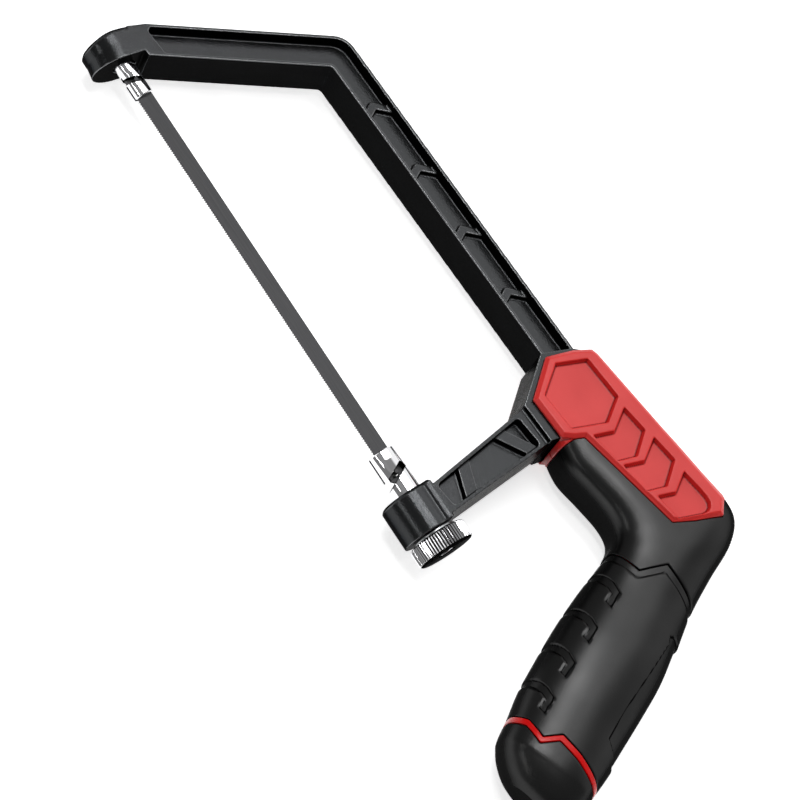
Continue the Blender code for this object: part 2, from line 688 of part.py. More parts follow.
def chevron_outline(index):
    """Trace one raised chevron on the spine's recess floor, pointing to the front."""
    along = (spine_end() - BEND).normalized()
    across = Vector((-along.y, along.x))
    half = SPINE_DEPTH / 2 - RIM / 2
    apex = BEND + along * (CHEVRON_START + index * CHEVRON_PITCH - CHEVRON_WIDTH)
    inner = along * CHEVRON_INNER_SWEEP * half - across * half
    outer = along * CHEVRON_OUTER_SWEEP * half + across * half
    width = along * CHEVRON_WIDTH
    return [tuple(point) for point in (apex + inner, apex, apex + outer, apex + outer + width,
                                       apex + width, apex + inner + width)]


def both_sides(outline, low, high):
    """Extrude an outline between two levels of z on the near side and again on the far side."""
    return [plate(outline, low, high), plate(outline, -high, -low)]


def tang_outline(growth=0.0):
    """Trace the tang that runs from the hub down inside the handle."""
    along = Vector((math.cos(PANEL_SLOPE), math.sin(PANEL_SLOPE)))
    across = Vector((-along.y, along.x))
    tip = HUB + along * (TANG_LENGTH + growth)
    wide = TANG_ROOT_WIDTH / 2 + growth
    narrow = TANG_TIP_WIDTH / 2 + growth
    return [tuple(point) for point in (HUB - across * wide, tip - across * narrow,
                                       tip + across * narrow, HUB + across * wide)]


def arrow_centre(index):
    """Give the middle of one arrow recess, which is also a screw's place on the far side."""
    reach = ARROW_START + index * ARROW_PITCH
    return HUB + Vector((reach * math.cos(PANEL_SLOPE), reach * math.sin(PANEL_SLOPE)))


def make_frame(material):
    """Make the die-cast bow with its recesses, ribs, bores and tang."""
    frame = plate(bow_outline(0.0, HALF_FRAME / 2, 0.0), -HALF_FRAME, HALF_FRAME, "frame", material)
    floor = HALF_FRAME - RECESS_DEPTH
    over = HALF_FRAME + CUT_OVERRUN
    cut(frame, *both_sides(bow_outline(RIM, FRONT_RECESS_START, CUT_OVERRUN), floor, over))
    for i in range(CHEVRON_COUNT):
        join(frame, *both_sides(chevron_outline(i), floor - CUT_OVERRUN / 2, floor + CHEVRON_HEIGHT))
    join(frame, make_front_boss())
    join(frame, make_rear_arm())
    hub_outline = moved(HUB_OUTLINE, HUB)
    join(frame, plate(hub_outline, -HALF_HUB, HALF_HUB))
    join(frame, plate(tang_outline(), -TANG_THICKNESS / 2, TANG_THICKNESS / 2))
    cut_frame_bores(frame)
    return frame


def rear_boss_outline():
    """Trace the rear boss end-on: a round body, a crease and a rounded shoulder on each side."""
    body = Vector((-REAR_BOSS_DROP, 0.0))
    bead = Vector((BEAD_HEIGHT, HALF_FRAME - BEAD_RADIUS))
    apart = (bead - body).length
    along = (REAR_BOSS_RADIUS ** 2 - BEAD_RADIUS ** 2 + apart ** 2) / (2 * apart)
    aside = math.sqrt(REAR_BOSS_RADIUS ** 2 - along ** 2)
    towards = (bead - body) / apart
    crease = body + towards * along + Vector((-towards.y, towards.x)) * aside
    start = math.atan2(crease.y - body.y, crease.x - body.x)
    points = []
    for i in range(REAR_BOSS_STEPS + 1):
        angle = start + (math.tau - 2 * start) * i / REAR_BOSS_STEPS
        points.append((body.x + REAR_BOSS_RADIUS * math.cos(angle), REAR_BOSS_RADIUS * math.sin(angle)))
    shoulder = []
    first = math.atan2(crease.y - bead.y, crease.x - bead.x)
    for i in range(1, BEAD_STEPS + 1):
        angle = first + (math.pi / 2 - first) * i / BEAD_STEPS
        shoulder.append((bead.x + BEAD_RADIUS * math.cos(angle), bead.y + BEAD_RADIUS * math.sin(angle)))
    shoulder.append((REAR_BOSS_TOP - BOSS_EDGE, HALF_FRAME))
    shoulder.append((REAR_BOSS_TOP, HALF_FRAME - BOSS_EDGE))
    far = [(y, -z) for y, z in shoulder]
    return points + far + shoulder[::-1]


def make_rear_arm():
    """Make the rear arm and the boss at its foot."""
    arm = plate(rear_arm_outline(), -HALF_FRAME, HALF_FRAME)
    join(arm, chamfered_bar(rear_boss_outline(), REAR_BOSS_X, REAR_BOSS_END_X, REAR_BOSS_CHAMFER))
    floor = HALF_FRAME - REAR_RECESS_DEPTH
    cut(arm, *both_sides(rear_recess_outline(), floor, HALF_FRAME + CUT_OVERRUN))
    for left_height, right_height in REAR_RIBS:
        join(arm, *both_sides(rear_rib_outline(left_height, right_height),
                              floor - CUT_OVERRUN / 2, floor + REAR_RIB_HEIGHT))
    return arm


def cut_frame_bores(frame):
    """Open the front and rear bores and the screw holes of the hub and tang."""
    bulkhead = front_bulkhead_x()
    outside = FRONT_BOSS_X - FRONT_BOSS_LENGTH
    inside = FRONT_BOSS_X + FRONT_BOSS_LENGTH
    cut(frame, rod(outside, bulkhead, COUNTERBORE_RADIUS, 24))
    cut(frame, rod(bulkhead - CUT_OVERRUN, inside, STUD_RADIUS + STUD_HOLE_GAP, 24))
    cut(frame, rod(bulkhead + BULKHEAD, inside, FRONT_HEAD_RADIUS + FRONT_BORE_GAP, 24))
    cut(frame, rod(REAR_BOSS_X - CUT_OVERRUN, REAR_BOSS_X + REAR_BORE_DEPTH,
                   REAR_HEAD_RADIUS + REAR_BORE_GAP, 28))
    cut(frame, rod(REAR_BOSS_X, REAR_BOSS_END_X + CUT_OVERRUN, STUD_RADIUS + STUD_HOLE_GAP, 28))
    cut(frame, pin_through(HUB.x, HUB.y, -HALF_HUB - CUT_OVERRUN, -HALF_HUB + HUB_SCREW_DEPTH,
                           SCREW_RADIUS + RUN_GAP, 16))
    for i in range(ARROW_COUNT):
        centre = arrow_centre(i)
        cut(frame, pin_through(centre.x, centre.y, -TANG_THICKNESS, TANG_THICKNESS,
                               SCREW_RADIUS + 2 * RUN_GAP, 16))


# ---------------------------------------------------------------- handle

def blend(values, position):
    """Read a smooth curve through a list of values at a place between two of them."""
    index = min(int(position), len(values) - 2)
    share = position - index
    before = values[max(index - 1, 0)]
    start = values[index]
    end = values[index + 1]
    after = values[min(index + 2, len(values) - 1)]
    slope_in = (end - before) / 2
    slope_out = (after - start) / 2
    square = share * share
    cube = square * share
    return (start * (2 * cube - 3 * square + 1) + slope_in * (cube - 2 * square + share)
            + end * (3 * square - 2 * cube) + slope_out * (cube - square))


def handle_ring(position, inset, count):
    """Make one rounded section of the handle, drawn in by an inset."""
    fronts = [HUB + Vector(section[0]) for section in HANDLE_SECTIONS]
    backs = [HUB + Vector(section[1]) for section in HANDLE_SECTIONS]
    front = blend(fronts, position)
    back = blend(backs, position)
    half_depth = blend([section[2] for section in HANDLE_SECTIONS], position) - inset
    power = 2 / blend([section[3] for section in HANDLE_SECTIONS], position)
    centre = (front + back) / 2
    across = (back - front).normalized()
    half_width = (back - front).length / 2 - inset
    ring = []
    for i in range(count):
        angle = math.tau * (i + 0.5) / count
        width = half_width * math.copysign(abs(math.cos(angle)) ** power, math.cos(angle))
        depth = half_depth * math.copysign(abs(math.sin(angle)) ** power, math.sin(angle))
        ring.append((centre.x + across.x * width, centre.y + across.y * width, depth))
    return ring


def handle_form(inset, spans, count, end_share=0.0):
    """Loft the handle over a number of spans from the hub, drawn in by an inset."""
    rings = [handle_ring(position, inset, count) for position in range(spans)]
    rings.append(handle_ring(spans + end_share, inset, count))
    return loft(rings)


def red_region(growth=0.0):
    """Trace the side-view region where the handle's red body comes to the surface."""
    edge = offset_outline(PANEL_OUTLINE, growth)
    band = HUB_OUTLINE[3][0] + SEAT_GAP + BAND_WIDTH + growth
    beyond = PANEL_OUTLINE[6][0]
    return moved([(-beyond, -beyond), (band, -beyond), (band, edge[10][1]), *reversed(edge[5:10]),
                  (edge[5][0], beyond), (-beyond, beyond)], HUB)


def panel_block():
    """Make the raised panels of both sides as one block with bevelled edges."""
    outline = moved(PANEL_OUTLINE, HUB)
    drawn_in = offset_outline(outline, -PANEL_BEVEL)
    levels = ((drawn_in, -HALF_PANEL), (outline, PANEL_BEVEL - HALF_PANEL),
              (outline, HALF_PANEL - PANEL_BEVEL), (drawn_in, HALF_PANEL))
    return loft([[(x, y, z) for x, y in ring] for ring, z in levels])


def panel_recesses():
    """Make the cutters for the hexagon and the arrows of both panels."""
    floor = HALF_PANEL - PANEL_RECESS_DEPTH
    over = HALF_PANEL + CUT_OVERRUN
    cutters = both_sides(moved(HEXAGON_OUTLINE, HUB), floor, over)
    for i in range(ARROW_COUNT):
        size = LAST_ARROW_SHRINK if i == ARROW_COUNT - 1 else 1.0
        outline = [(x * size, y * size) for x, y in ARROW_OUTLINE]
        cutters += both_sides(moved(outline, arrow_centre(i)), floor, over)
    return cutters


def make_handle_body():
    """Make the red handle as one solid, hollowed for the hub and the tang."""
    surface = handle_form(0.0, 6, SECTION_POINTS)
    keep_inside(surface, plate(red_region(), -FRAME_THICKNESS, FRAME_THICKNESS))
    body = handle_form(SLEEVE_THICKNESS + SEAT_GAP, CORE_SPANS, CORE_POINTS)
    join(body, surface, panel_block())
    hub_room = HALF_HUB + SEAT_GAP
    tang_room = TANG_THICKNESS / 2 + SEAT_GAP
    cut(body, plate(offset_outline(moved(HUB_OUTLINE, HUB), SEAT_GAP), -hub_room, hub_room),
        plate(tang_outline(SEAT_GAP), -tang_room, tang_room), *panel_recesses())
    return body


def make_core_half(name, body, side, material):
    """Keep one side of the red body, parted at the mid-plane."""
    half = bpy.data.objects.new(name, body.data.copy())
    bpy.context.scene.collection.objects.link(half)
    half.data.materials.clear()
    half.data.materials.append(material)
    low, high = sorted((side * SEAT_GAP / 2, side * FRAME_THICKNESS))
    reach = KEEP_REACH
    square = moved([(-reach, -reach), (reach, -reach), (reach, reach), (-reach, reach)], HUB)
    keep_inside(half, plate(square, low, high))
    return half


def drill_halves(near, far):
    """Drill the screw holes: clearance through the far half, pilots in the near half."""
    far_out = -HALF_PANEL - CUT_OVERRUN
    cut(far, pin_through(HUB.x, HUB.y, far_out, 0.0, SCREW_RADIUS + RUN_GAP, 16))
    for i in range(ARROW_COUNT):
        centre = arrow_centre(i)
        cut(far, pin_through(centre.x, centre.y, far_out, CUT_OVERRUN, SCREW_RADIUS + RUN_GAP, 16))
        cut(near, pin_through(centre.x, centre.y, -CUT_OVERRUN, CORE_SCREW_REACH + SEAT_GAP,
                              SCREW_RADIUS + RUN_GAP, 16))


def make_screw(number, centre, reach, material):
    """Make one low-headed screw, driven from the far side."""
    head_low = PANEL_RECESS_DEPTH - HALF_PANEL - RUN_GAP - SCREW_HEAD_HEIGHT
    levels = ((head_low, SCREW_HEAD_RADIUS * SCREW_CROWN_SHARE), (head_low + SCREW_HEAD_HEIGHT / 2, SCREW_HEAD_RADIUS),
              (head_low + SCREW_HEAD_HEIGHT, SCREW_HEAD_RADIUS),
              (head_low + SCREW_HEAD_HEIGHT, SCREW_RADIUS), (reach, SCREW_RADIUS))
    rings = []
    for z, radius in levels:
        ring = [circle_point(radius, math.tau * (i + 0.5) / 16) for i in range(16)]
        rings.append([(centre.x + dx, centre.y + dy, z) for dx, dy in ring])
    return loft(rings, f"handle_screw_{number}", material)


def region_below(line, reach):
    """Trace the side-view region on the butt side of a line across the handle."""
    points = [HUB + Vector(point) for point in line]
    down = Vector((math.sin(PANEL_SLOPE), -math.cos(PANEL_SLOPE))) * reach
    return [tuple(point) for point in (*points, points[-1] + down, points[0] + down)]


def shifted(line, distance):
    """Move a line down the grip by a distance."""
    along = Vector((math.cos(GRIP_SLOPE), math.sin(GRIP_SLOPE))) * distance
    return [(x + along.x, y + along.y) for x, y in line]


def sleeve_blank(name, material):
    """Make the whole black outer skin as a hollow form."""
    skin = handle_form(0.0, len(HANDLE_SECTIONS) - 1, SECTION_POINTS)
    skin.name = name
    cavity = handle_form(SLEEVE_THICKNESS, CORE_SPANS, CORE_POINTS, CORE_END_GAP)
    cut(skin, cavity)
    skin.data.materials.clear()
    skin.data.materials.append(material)
    return skin


def zone(line, reach=0.2):
    """Make a cutter for everything on the butt side of a line across the handle."""
    return plate(region_below(line, reach), -FRAME_THICKNESS, FRAME_THICKNESS)


def make_sleeves(black, red):
    """Part the outer skin into palm sleeve, grip sleeve, ring and butt cap."""
    gap = SEAT_GAP / 2
    palm = sleeve_blank("palm_sleeve", black)
    cut(palm, plate(red_region(SEAT_GAP), -FRAME_THICKNESS, FRAME_THICKNESS),
        zone(shifted(SEAM_LINE, -gap)))
    grip = sleeve_blank("grip_sleeve", black)
    keep_inside(grip, zone(shifted(SEAM_LINE, gap)))
    cut(grip, zone(shifted(RING_LINE, -RING_WIDTH / 2 - gap)))
    ring = sleeve_blank("trim_ring", red)
    keep_inside(ring, zone(shifted(RING_LINE, gap - RING_WIDTH / 2)))
    cut(ring, zone(shifted(RING_LINE, RING_WIDTH / 2 - gap)))
    butt = sleeve_blank("butt_cap", black)
    keep_inside(butt, zone(shifted(RING_LINE, RING_WIDTH / 2 + gap)))
    return [palm, grip, ring, butt]


def make_handle(red, black, steel):
    """Make the two red halves, their screws and the black outer pieces."""
    body = make_handle_body()
    near = make_core_half("handle_core_near", body, 1, red)
    far = make_core_half("handle_core_far", body, -1, red)
    bpy.data.objects.remove(body, do_unlink=True)
    drill_halves(near, far)
    screws = [make_screw(1, HUB, -HALF_HUB + HUB_SCREW_DEPTH - SEAT_GAP, steel)]
    for i in range(ARROW_COUNT):
        screws.append(make_screw(i + 2, arrow_centre(i), CORE_SCREW_REACH, steel))
    return [near, far, *screws, *make_sleeves(black, red)]


# ---------------------------------------------------------------- assembly

def make_empty(name, location, parent):
    """Make an empty that carries a group of pieces."""
    empty = bpy.data.objects.new(name, None)
    empty.empty_display_size = 0.01
    empty.location = location
    empty.parent = parent
    bpy.context.scene.collection.objects.link(empty)
    return empty


def carry(parent, pieces):
    """Parent pieces that are placed in the design frame."""
    for piece in pieces:
        piece.location -= parent.location
        piece.parent = parent


def stand_on_floor(root):
    """Shift the saw so that the box round it stands on z = 0, centred on the z axis."""
    bpy.context.view_layer.update()
    points = [piece.matrix_world @ vertex.co for piece in bpy.context.scene.objects
              if piece.type == "MESH" for vertex in piece.data.vertices]
    low = Vector([min(point[i] for point in points) for i in range(3)])
    high = Vector([max(point[i] for point in points) for i in range(3)])
    middle = (low + high) / 2
    root.location = (-middle.x, -middle.y, -low.z)


def main():
    """Build the saw."""
    cast = make_material("cast_black", (0.012, 0.012, 0.013), 0.42, 0.0)
    steel = make_material("chromed_steel", (0.78, 0.79, 0.80), 0.12, 1.0)
    blade_steel = make_material("blade_steel", (0.09, 0.09, 0.095), 0.45, 0.9)
    zinc = make_material("zinc_plated_steel", (0.55, 0.56, 0.57), 0.35, 1.0)
    red = make_material("red_plastic", (0.62, 0.055, 0.05), 0.4, 0.0)
    black = make_material("black_soft_grip", (0.015, 0.015, 0.016), 0.5, 0.0)

    front_pin = (0.0, 0.0, 0.0)
    rear_pin = (PIN_SPACING, 0.0, 0.0)
    fixed = [make_frame(cast), make_front_washer(zinc), *make_handle(red, black, zinc)]
    swinging = [
        place(make_front_holder(steel), front_pin),
        place(make_retaining_clip(zinc), front_pin),
        place(make_blade(blade_steel), front_pin),
        place(make_blade_pin("blade_pin_front", 0.0, blade_steel), front_pin),
        place(make_blade_pin("blade_pin_rear", PIN_SPACING, blade_steel), rear_pin),
    ]
    root = make_empty("hacksaw", (0.0, 0.0, 0.0), None)
    carry(root, fixed)
    carry(make_empty("blade_swivel_axis", front_pin, root), swinging)
    carry(make_empty("tension_axis", (REAR_BOSS_END_X, 0.0, 0.0), root), [
        place(make_rear_holder(steel), rear_pin),
        place(make_thrust_washer(zinc), (WASHER_X, 0.0, 0.0)),
        place(make_knob(steel), (KNOB_X, 0.0, 0.0)),
    ])
    stand_on_floor(root)


main()
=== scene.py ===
"""Looks of the junior hacksaw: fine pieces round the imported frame, their finishes and a studio.

Sizes are in millimetres in the saw's own frame: the origin is the front cross pin's middle, +X runs
along the blade to the handle, +Y from the blade to the spine and +Z out of the near side. world()
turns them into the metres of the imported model.
"""
import logging
import math
from collections.abc import Callable, Sequence
from dataclasses import dataclass, field
from enum import Enum

import bmesh
import bpy
from mathutils import Matrix, Vector

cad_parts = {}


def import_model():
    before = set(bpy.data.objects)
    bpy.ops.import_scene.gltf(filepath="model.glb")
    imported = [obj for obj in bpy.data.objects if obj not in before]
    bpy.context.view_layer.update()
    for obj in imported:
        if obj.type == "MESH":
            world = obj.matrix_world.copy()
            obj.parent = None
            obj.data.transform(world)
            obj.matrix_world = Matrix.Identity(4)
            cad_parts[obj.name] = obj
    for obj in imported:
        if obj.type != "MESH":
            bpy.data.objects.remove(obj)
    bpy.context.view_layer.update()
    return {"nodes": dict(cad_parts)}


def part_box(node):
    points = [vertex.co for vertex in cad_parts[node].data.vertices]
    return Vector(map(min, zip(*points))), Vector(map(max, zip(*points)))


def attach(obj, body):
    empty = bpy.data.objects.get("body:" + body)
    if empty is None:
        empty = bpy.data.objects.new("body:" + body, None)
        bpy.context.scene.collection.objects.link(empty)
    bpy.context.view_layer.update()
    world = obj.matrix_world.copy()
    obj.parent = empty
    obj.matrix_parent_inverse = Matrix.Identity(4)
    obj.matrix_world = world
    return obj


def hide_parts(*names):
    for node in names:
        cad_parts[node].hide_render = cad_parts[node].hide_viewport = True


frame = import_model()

log = logging.getLogger("hacksaw")
MM = 0.001
ROUND = 96
SMALL_ROUND = 48
# Edges of machined pieces that turn by more degrees than this stay sharp.
MACHINED = 30.0
# How far a cutter runs past what it cuts.
PAST = 1.0
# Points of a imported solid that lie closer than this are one.
WELD = 0.02
# Gaps that differ by less than this are equal.
EVEN = 1e-9
SQUARE = ((-1, -1), (1, -1), (1, 1), (-1, 1))
Point2 = tuple[float, float]
Point3 = tuple[float, float, float]
Outline = Sequence[Point2]
Colour = tuple[float, float, float, float]
Piece = bpy.types.Object
Material = bpy.types.Material
Tree = bpy.types.NodeTree
Node = bpy.types.Node


class Body(Enum):
    """The moving bodies that pieces ride on."""

    BOW = "bow"
    BLADE_CARRIER = "blade_carrier"
    REAR_STUD = "rear_stud"
    KNOB = "knob"


class Slot(Enum):
    """The record's material slots."""

    CAST_BLACK = "cast_black"
    CHROMED_STEEL = "chromed_steel"
    BLADE_STEEL = "blade_steel"
    ZINC_PLATED_STEEL = "zinc_plated_steel"
    RED_PLASTIC = "red_plastic"
    BLACK_SOFT_GRIP = "black_soft_grip"


class Cut(Enum):
    """What a boolean step does with its tool."""

    AWAY = "DIFFERENCE"
    TOGETHER = "UNION"


# ---------------------------------------------------------------- places

def saw_origin() -> Vector:
    """Give the front cross pin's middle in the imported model's metres."""
    low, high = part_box("blade_pin_front")
    return (Vector(low) + Vector(high)) / 2


ORIGIN = saw_origin()
HUB = (156.1, 59.2)


def saw_box(node: str) -> list[Point3]:
    """Give a CAD node's lower and upper corner in the saw's own millimetres."""
    return [tuple((value - zero) / MM for value, zero in zip(corner, ORIGIN))
            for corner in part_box(node)]


def saw_span(node: str) -> Point2:
    """Give where a CAD node starts and ends along the blade's axis."""
    low, high = saw_box(node)
    return low[0], high[0]


def world(point: Point3) -> Vector:
    """Turn a place in the saw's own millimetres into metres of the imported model."""
    return ORIGIN + Vector(point) * MM


def at_hub(outline: Outline) -> Outline:
    """Shift an outline that is drawn from the hub's centre."""
    return [(HUB[0] + x, HUB[1] + y) for x, y in outline]


# ---------------------------------------------------------------- shaping

def object_from(name: str, shape: bmesh.types.BMesh) -> Piece:
    """Turn a bmesh into a linked object with its faces pointing out.

    Args:
        name: the new object's name.
        shape: the mesh under construction, which is used up.

    Returns:
        The linked object.
    """
    bmesh.ops.recalc_face_normals(shape, faces=shape.faces)
    mesh = bpy.data.meshes.new(name)
    shape.to_mesh(mesh)
    shape.free()
    made = bpy.data.objects.new(name, mesh)
    bpy.context.scene.collection.objects.link(made)
    return made


def loft(name: str, rings: list[list[Point3]], looped: bool = False) -> Piece:
    """Join closed rings of equally many points into one closed solid.

    Args:
        name: the new object's name.
        rings: the sections in order, in the saw's millimetres.
        looped: True joins the last ring to the first, as in a washer; False caps both ends.

    Returns:
        The solid.
    """
    shape = bmesh.new()
    layers = [[shape.verts.new(world(point)) for point in ring] for ring in rings]
    if looped:
        layers.append(layers[0])
    else:
        shape.faces.new(layers[0][::-1])
        shape.faces.new(layers[-1])
    for lower, upper in zip(layers, layers[1:]):
        for i, here in enumerate(lower):
            j = (i + 1) % len(lower)
            shape.faces.new((here, lower[j], upper[j], upper[i]))
    return object_from(name, shape)


def circle(radius: float, sides: int, start: float = 0.0) -> Outline:
    """Give a circle's points round the origin."""
    turns = [start + math.tau * i / sides for i in range(sides)]
    return [(radius * math.cos(turn), radius * math.sin(turn)) for turn in turns]


def prism(name: str, outline: Outline, low: float, high: float) -> Piece:
    """Extrude a side-view outline between two levels of z."""
    return loft(name, [[(x, y, z) for x, y in outline] for z in (low, high)])


def rod(low: float, high: float, radius: float, edge: float) -> Outline:
    """Give the profile of a plain rod or disc whose outer edges are broken."""
    return [(low, radius - edge), (low + edge, radius), (high - edge, radius),
            (high, radius - edge)]


def bar(name: str, outline: Outline, low: float, high: float) -> Piece:
    """Extrude an outline of (y, z) points between two places along the blade's axis."""
    return loft(name, [[(x, y, z) for y, z in outline] for x in (low, high)])


def turned(name: str, profile: Outline, sides: int, looped: bool = False) -> Piece:
    """Turn a profile of (x, radius) points about the blade's axis, as on a lathe."""
    return loft(name, [[(x, y, z) for y, z in circle(radius, sides)] for x, radius in profile],
                looped)


def upright(name: str, centre: Point2, profile: Outline, sides: int) -> Piece:
    """Turn a profile of (z, radius) points about an axis along z, at a place in the side view."""
    return loft(name, [[(centre[0] + x, centre[1] + y, z) for x, y in circle(radius, sides)]
                       for z, radius in profile])


def apply_modifiers(piece: Piece) -> None:
    """Write a piece's modifiers into its mesh.

    Args:
        piece: the piece whose modifiers are used up.
    """
    bpy.context.view_layer.update()
    graph = bpy.context.evaluated_depsgraph_get()
    result = bpy.data.meshes.new_from_object(piece.evaluated_get(graph))
    piece.modifiers.clear()
    old = piece.data
    piece.data = result
    bpy.data.meshes.remove(old)


def carve(piece: Piece, how: Cut, *tools: Piece) -> None:
    """Work a piece with other solids, which are used up.

    Args:
        piece: the solid that is worked on.
        how: what is done with each tool.
        tools: the solids that cut or join it.
    """
    for tool in tools:
        work = piece.modifiers.new("carve", "BOOLEAN")
        work.operation = how.value
        work.solver = "EXACT"
        work.object = tool
        apply_modifiers(piece)
        bpy.data.objects.remove(tool, do_unlink=True)


def soften(piece: Piece, width: float, segments: int = 2, angle: float = MACHINED) -> None:
    """Break a machined piece's sharp edges and shade it cleanly.

    Args:
        piece: the piece to finish.
        width: the size of the broken edge.
        segments: how many facets round it.
        angle: edges that turn by more degrees than this are broken.
    """
    edge = piece.modifiers.new("edge", "BEVEL")
    edge.width = width * MM
    edge.segments = segments
    edge.limit_method = "ANGLE"
    edge.angle_limit = math.radians(angle)
    edge.harden_normals = True
    apply_modifiers(piece)
    shade(piece, angle)


def shade(piece: Piece, angle: float = 180.0) -> None:
    """Shade a piece smoothly, apart from edges that turn by more than the angle in degrees."""
    piece.data.polygons.foreach_set("use_smooth", [True] * len(piece.data.polygons))
    piece.data.set_sharp_from_angle(angle=math.radians(angle))


def twin(name: str, source: Piece) -> Piece:
    """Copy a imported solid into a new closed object; the source is left as it is.

    Args:
        name: the new object's name.
        source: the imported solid.

    Returns:
        The copy, with its doubled points joined.
    """
    shape = bmesh.new()
    shape.from_mesh(source.data)
    bmesh.ops.remove_doubles(shape, verts=shape.verts, dist=WELD * MM)
    return object_from(name, shape)


def mark_turns(piece: Piece) -> None:
    """Note at each point how sharply the surface turns: above 0 along edges, below 0 in corners.

    Args:
        piece: the piece, which gets the attribute "turn".
    """
    shape = bmesh.new()
    shape.from_mesh(piece.data)
    turns = [sum(edge.calc_face_angle_signed(0.0) for edge in point.link_edges)
             for point in shape.verts]
    shape.free()
    piece.data.attributes.new("turn", "FLOAT", "POINT").data.foreach_set("value", turns)


def recast(piece: Piece, voxel: float, passes: int, kept: float) -> None:
    """Give a solid the soft edges that a mould leaves.

    Args:
        piece: the solid.
        voxel: the grid of its new skin.
        passes: how often the skin is evened out.
        kept: the share of its faces that is kept at the end.
    """
    grid = piece.modifiers.new("grid", "REMESH")
    grid.mode = "VOXEL"
    grid.voxel_size = voxel * MM
    even = piece.modifiers.new("even", "SMOOTH")
    even.iterations = passes
    thin = piece.modifiers.new("thin", "DECIMATE")
    thin.ratio = kept
    apply_modifiers(piece)
    shade(piece)
    mark_turns(piece)


def offset(outline: Outline, distance: float) -> Outline:
    """Move each side of a closed outline outwards by a distance, with square corners.

    Args:
        outline: the closed outline.
        distance: how far its sides move out, in millimetres.

    Returns:
        The moved outline.
    """
    points = [Vector(point) for point in outline]
    area = sum(a.x * b.y - b.x * a.y for a, b in zip(points, points[1:] + points[:1]))
    side = math.copysign(1.0, area)
    moved = []
    for i, point in enumerate(points):
        before = (point - points[i - 1]).normalized()
        after = (points[(i + 1) % len(points)] - point).normalized()
        mitre = Vector((before.y + after.y, -before.x - after.x)) / (1.0 + before.dot(after))
        moved.append(tuple(point + mitre * side * distance))
    return moved


# ---------------------------------------------------------------- colour and nodes

def linear(hex_colour: str) -> Colour:
    """Turn an sRGB hex colour, such as "d9443f", into linear values with an alpha of 1.

    Args:
        hex_colour: six hex digits without a hash sign.

    Returns:
        Red, green, blue and alpha.
    """
    parts = [int(hex_colour[i:i + 2], 16) / 255 for i in (0, 2, 4)]
    red, green, blue = (part / 12.92 if part <= 0.04045 else ((part + 0.055) / 1.055) ** 2.4
                        for part in parts)
    return red, green, blue, 1.0


def per_metre(size: float) -> float:
    """Give the texture scale at which one feature is this many millimetres across."""
    return 1.0 / (size * MM)


def connect(node: Node, links: dict) -> Node:
    """Feed a node's named inputs from other nodes' sockets, and give the node back.

    Args:
        node: the node that is fed.
        links: input names with the output sockets that feed them.

    Returns:
        The same node.
    """
    for name, socket in links.items():
        node.id_data.links.new(socket, node.inputs[name])
    return node


def add_node(tree: Tree, kind: str, settings: dict | None = None,
             links: dict | None = None) -> Node:
    """Add a node with its settings and its incoming links.

    Args:
        tree: the node tree that it goes in.
        kind: the node's type name, such as "ShaderNodeTexNoise".
        settings: property or input names with their values; "stops" sets a colour ramp's two.
        links: input names with the output sockets that feed them.

    Returns:
        The new node.
    """
    node = tree.nodes.new(kind)
    for name, value in (settings or {}).items():
        if name == "stops":
            for element, (position, colour) in zip(node.color_ramp.elements, value):
                element.position = position
                element.color = colour
        elif isinstance(name, str) and hasattr(node, name):
            setattr(node, name, value)
        else:
            node.inputs[name].default_value = value
    return connect(node, links or {})


def new_material(name: str, settings: dict) -> tuple[Material, Tree, Node]:
    """Start a material.

    Args:
        name: the material's name.
        settings: the values on its Principled shader's own sockets.

    Returns:
        The material, its node tree and its Principled shader.
    """
    material = bpy.data.materials.new(name)
    material.use_nodes = True
    tree = material.node_tree
    shader = tree.nodes["Principled BSDF"]
    for socket, value in settings.items():
        shader.inputs[socket].default_value = value
    return material, tree, shader


# ---------------------------------------------------------------- finishes

# The middle part of a noise texture, where nearly all its values lie.
CLOUD_SPAN = (0.3, 0.7)


@dataclass(frozen=True)
class Metal:
    """Bare or plated metal: one fine texture steers its colour, its gloss and its bump.

    feature is the texture's size along the blade and across it, spread the part of the texture that
    its two colours lie on, matt the part that its roughness lies on, and bump a strength and a
    height in millimetres. Without a dark colour it is light all over.
    """

    name: str
    light: str
    dark: str | None
    feature: Point2
    roughness: Point2
    bump: Point2
    detail: float = 4.0
    spread: Point2 = CLOUD_SPAN
    matt: Point2 = (0.0, 1.0)
    glance: str = "ffffff"

    def material(self) -> Material:
        """Make the material.

        Returns:
            The material.
        """
        material, tree, shader = new_material(self.name, {
            "Base Color": linear(self.light), "Metallic": 1.0,
            "Specular Tint": linear(self.glance)})
        along, across = (per_metre(size) for size in self.feature)
        place = add_node(tree, "ShaderNodeTexCoord").outputs["Object"]
        drawn = add_node(tree, "ShaderNodeMapping", {"Scale": (along, across, across)},
                         {"Vector": place}).outputs["Vector"]
        grain = add_node(tree, "ShaderNodeTexNoise", {"Scale": 1.0, "Detail": self.detail},
                         {"Vector": drawn}).outputs["Fac"]
        rough = add_node(tree, "ShaderNodeMapRange", {
            "From Min": self.matt[0], "From Max": self.matt[1],
            "To Min": self.roughness[0], "To Max": self.roughness[1]}, {"Value": grain})
        bump = add_node(tree, "ShaderNodeBump", {
            "Strength": self.bump[0], "Distance": self.bump[1] * MM}, {"Height": grain})
        connect(shader, {"Roughness": rough.outputs["Result"], "Normal": bump.outputs["Normal"]})
        if self.dark:
            stops = [(self.spread[0], linear(self.dark)), (self.spread[1], linear(self.light))]
            colour = add_node(tree, "ShaderNodeValToRGB", {"stops": stops}, {"Fac": grain})
            connect(shader, {"Base Color": colour.outputs["Color"]})
        return material


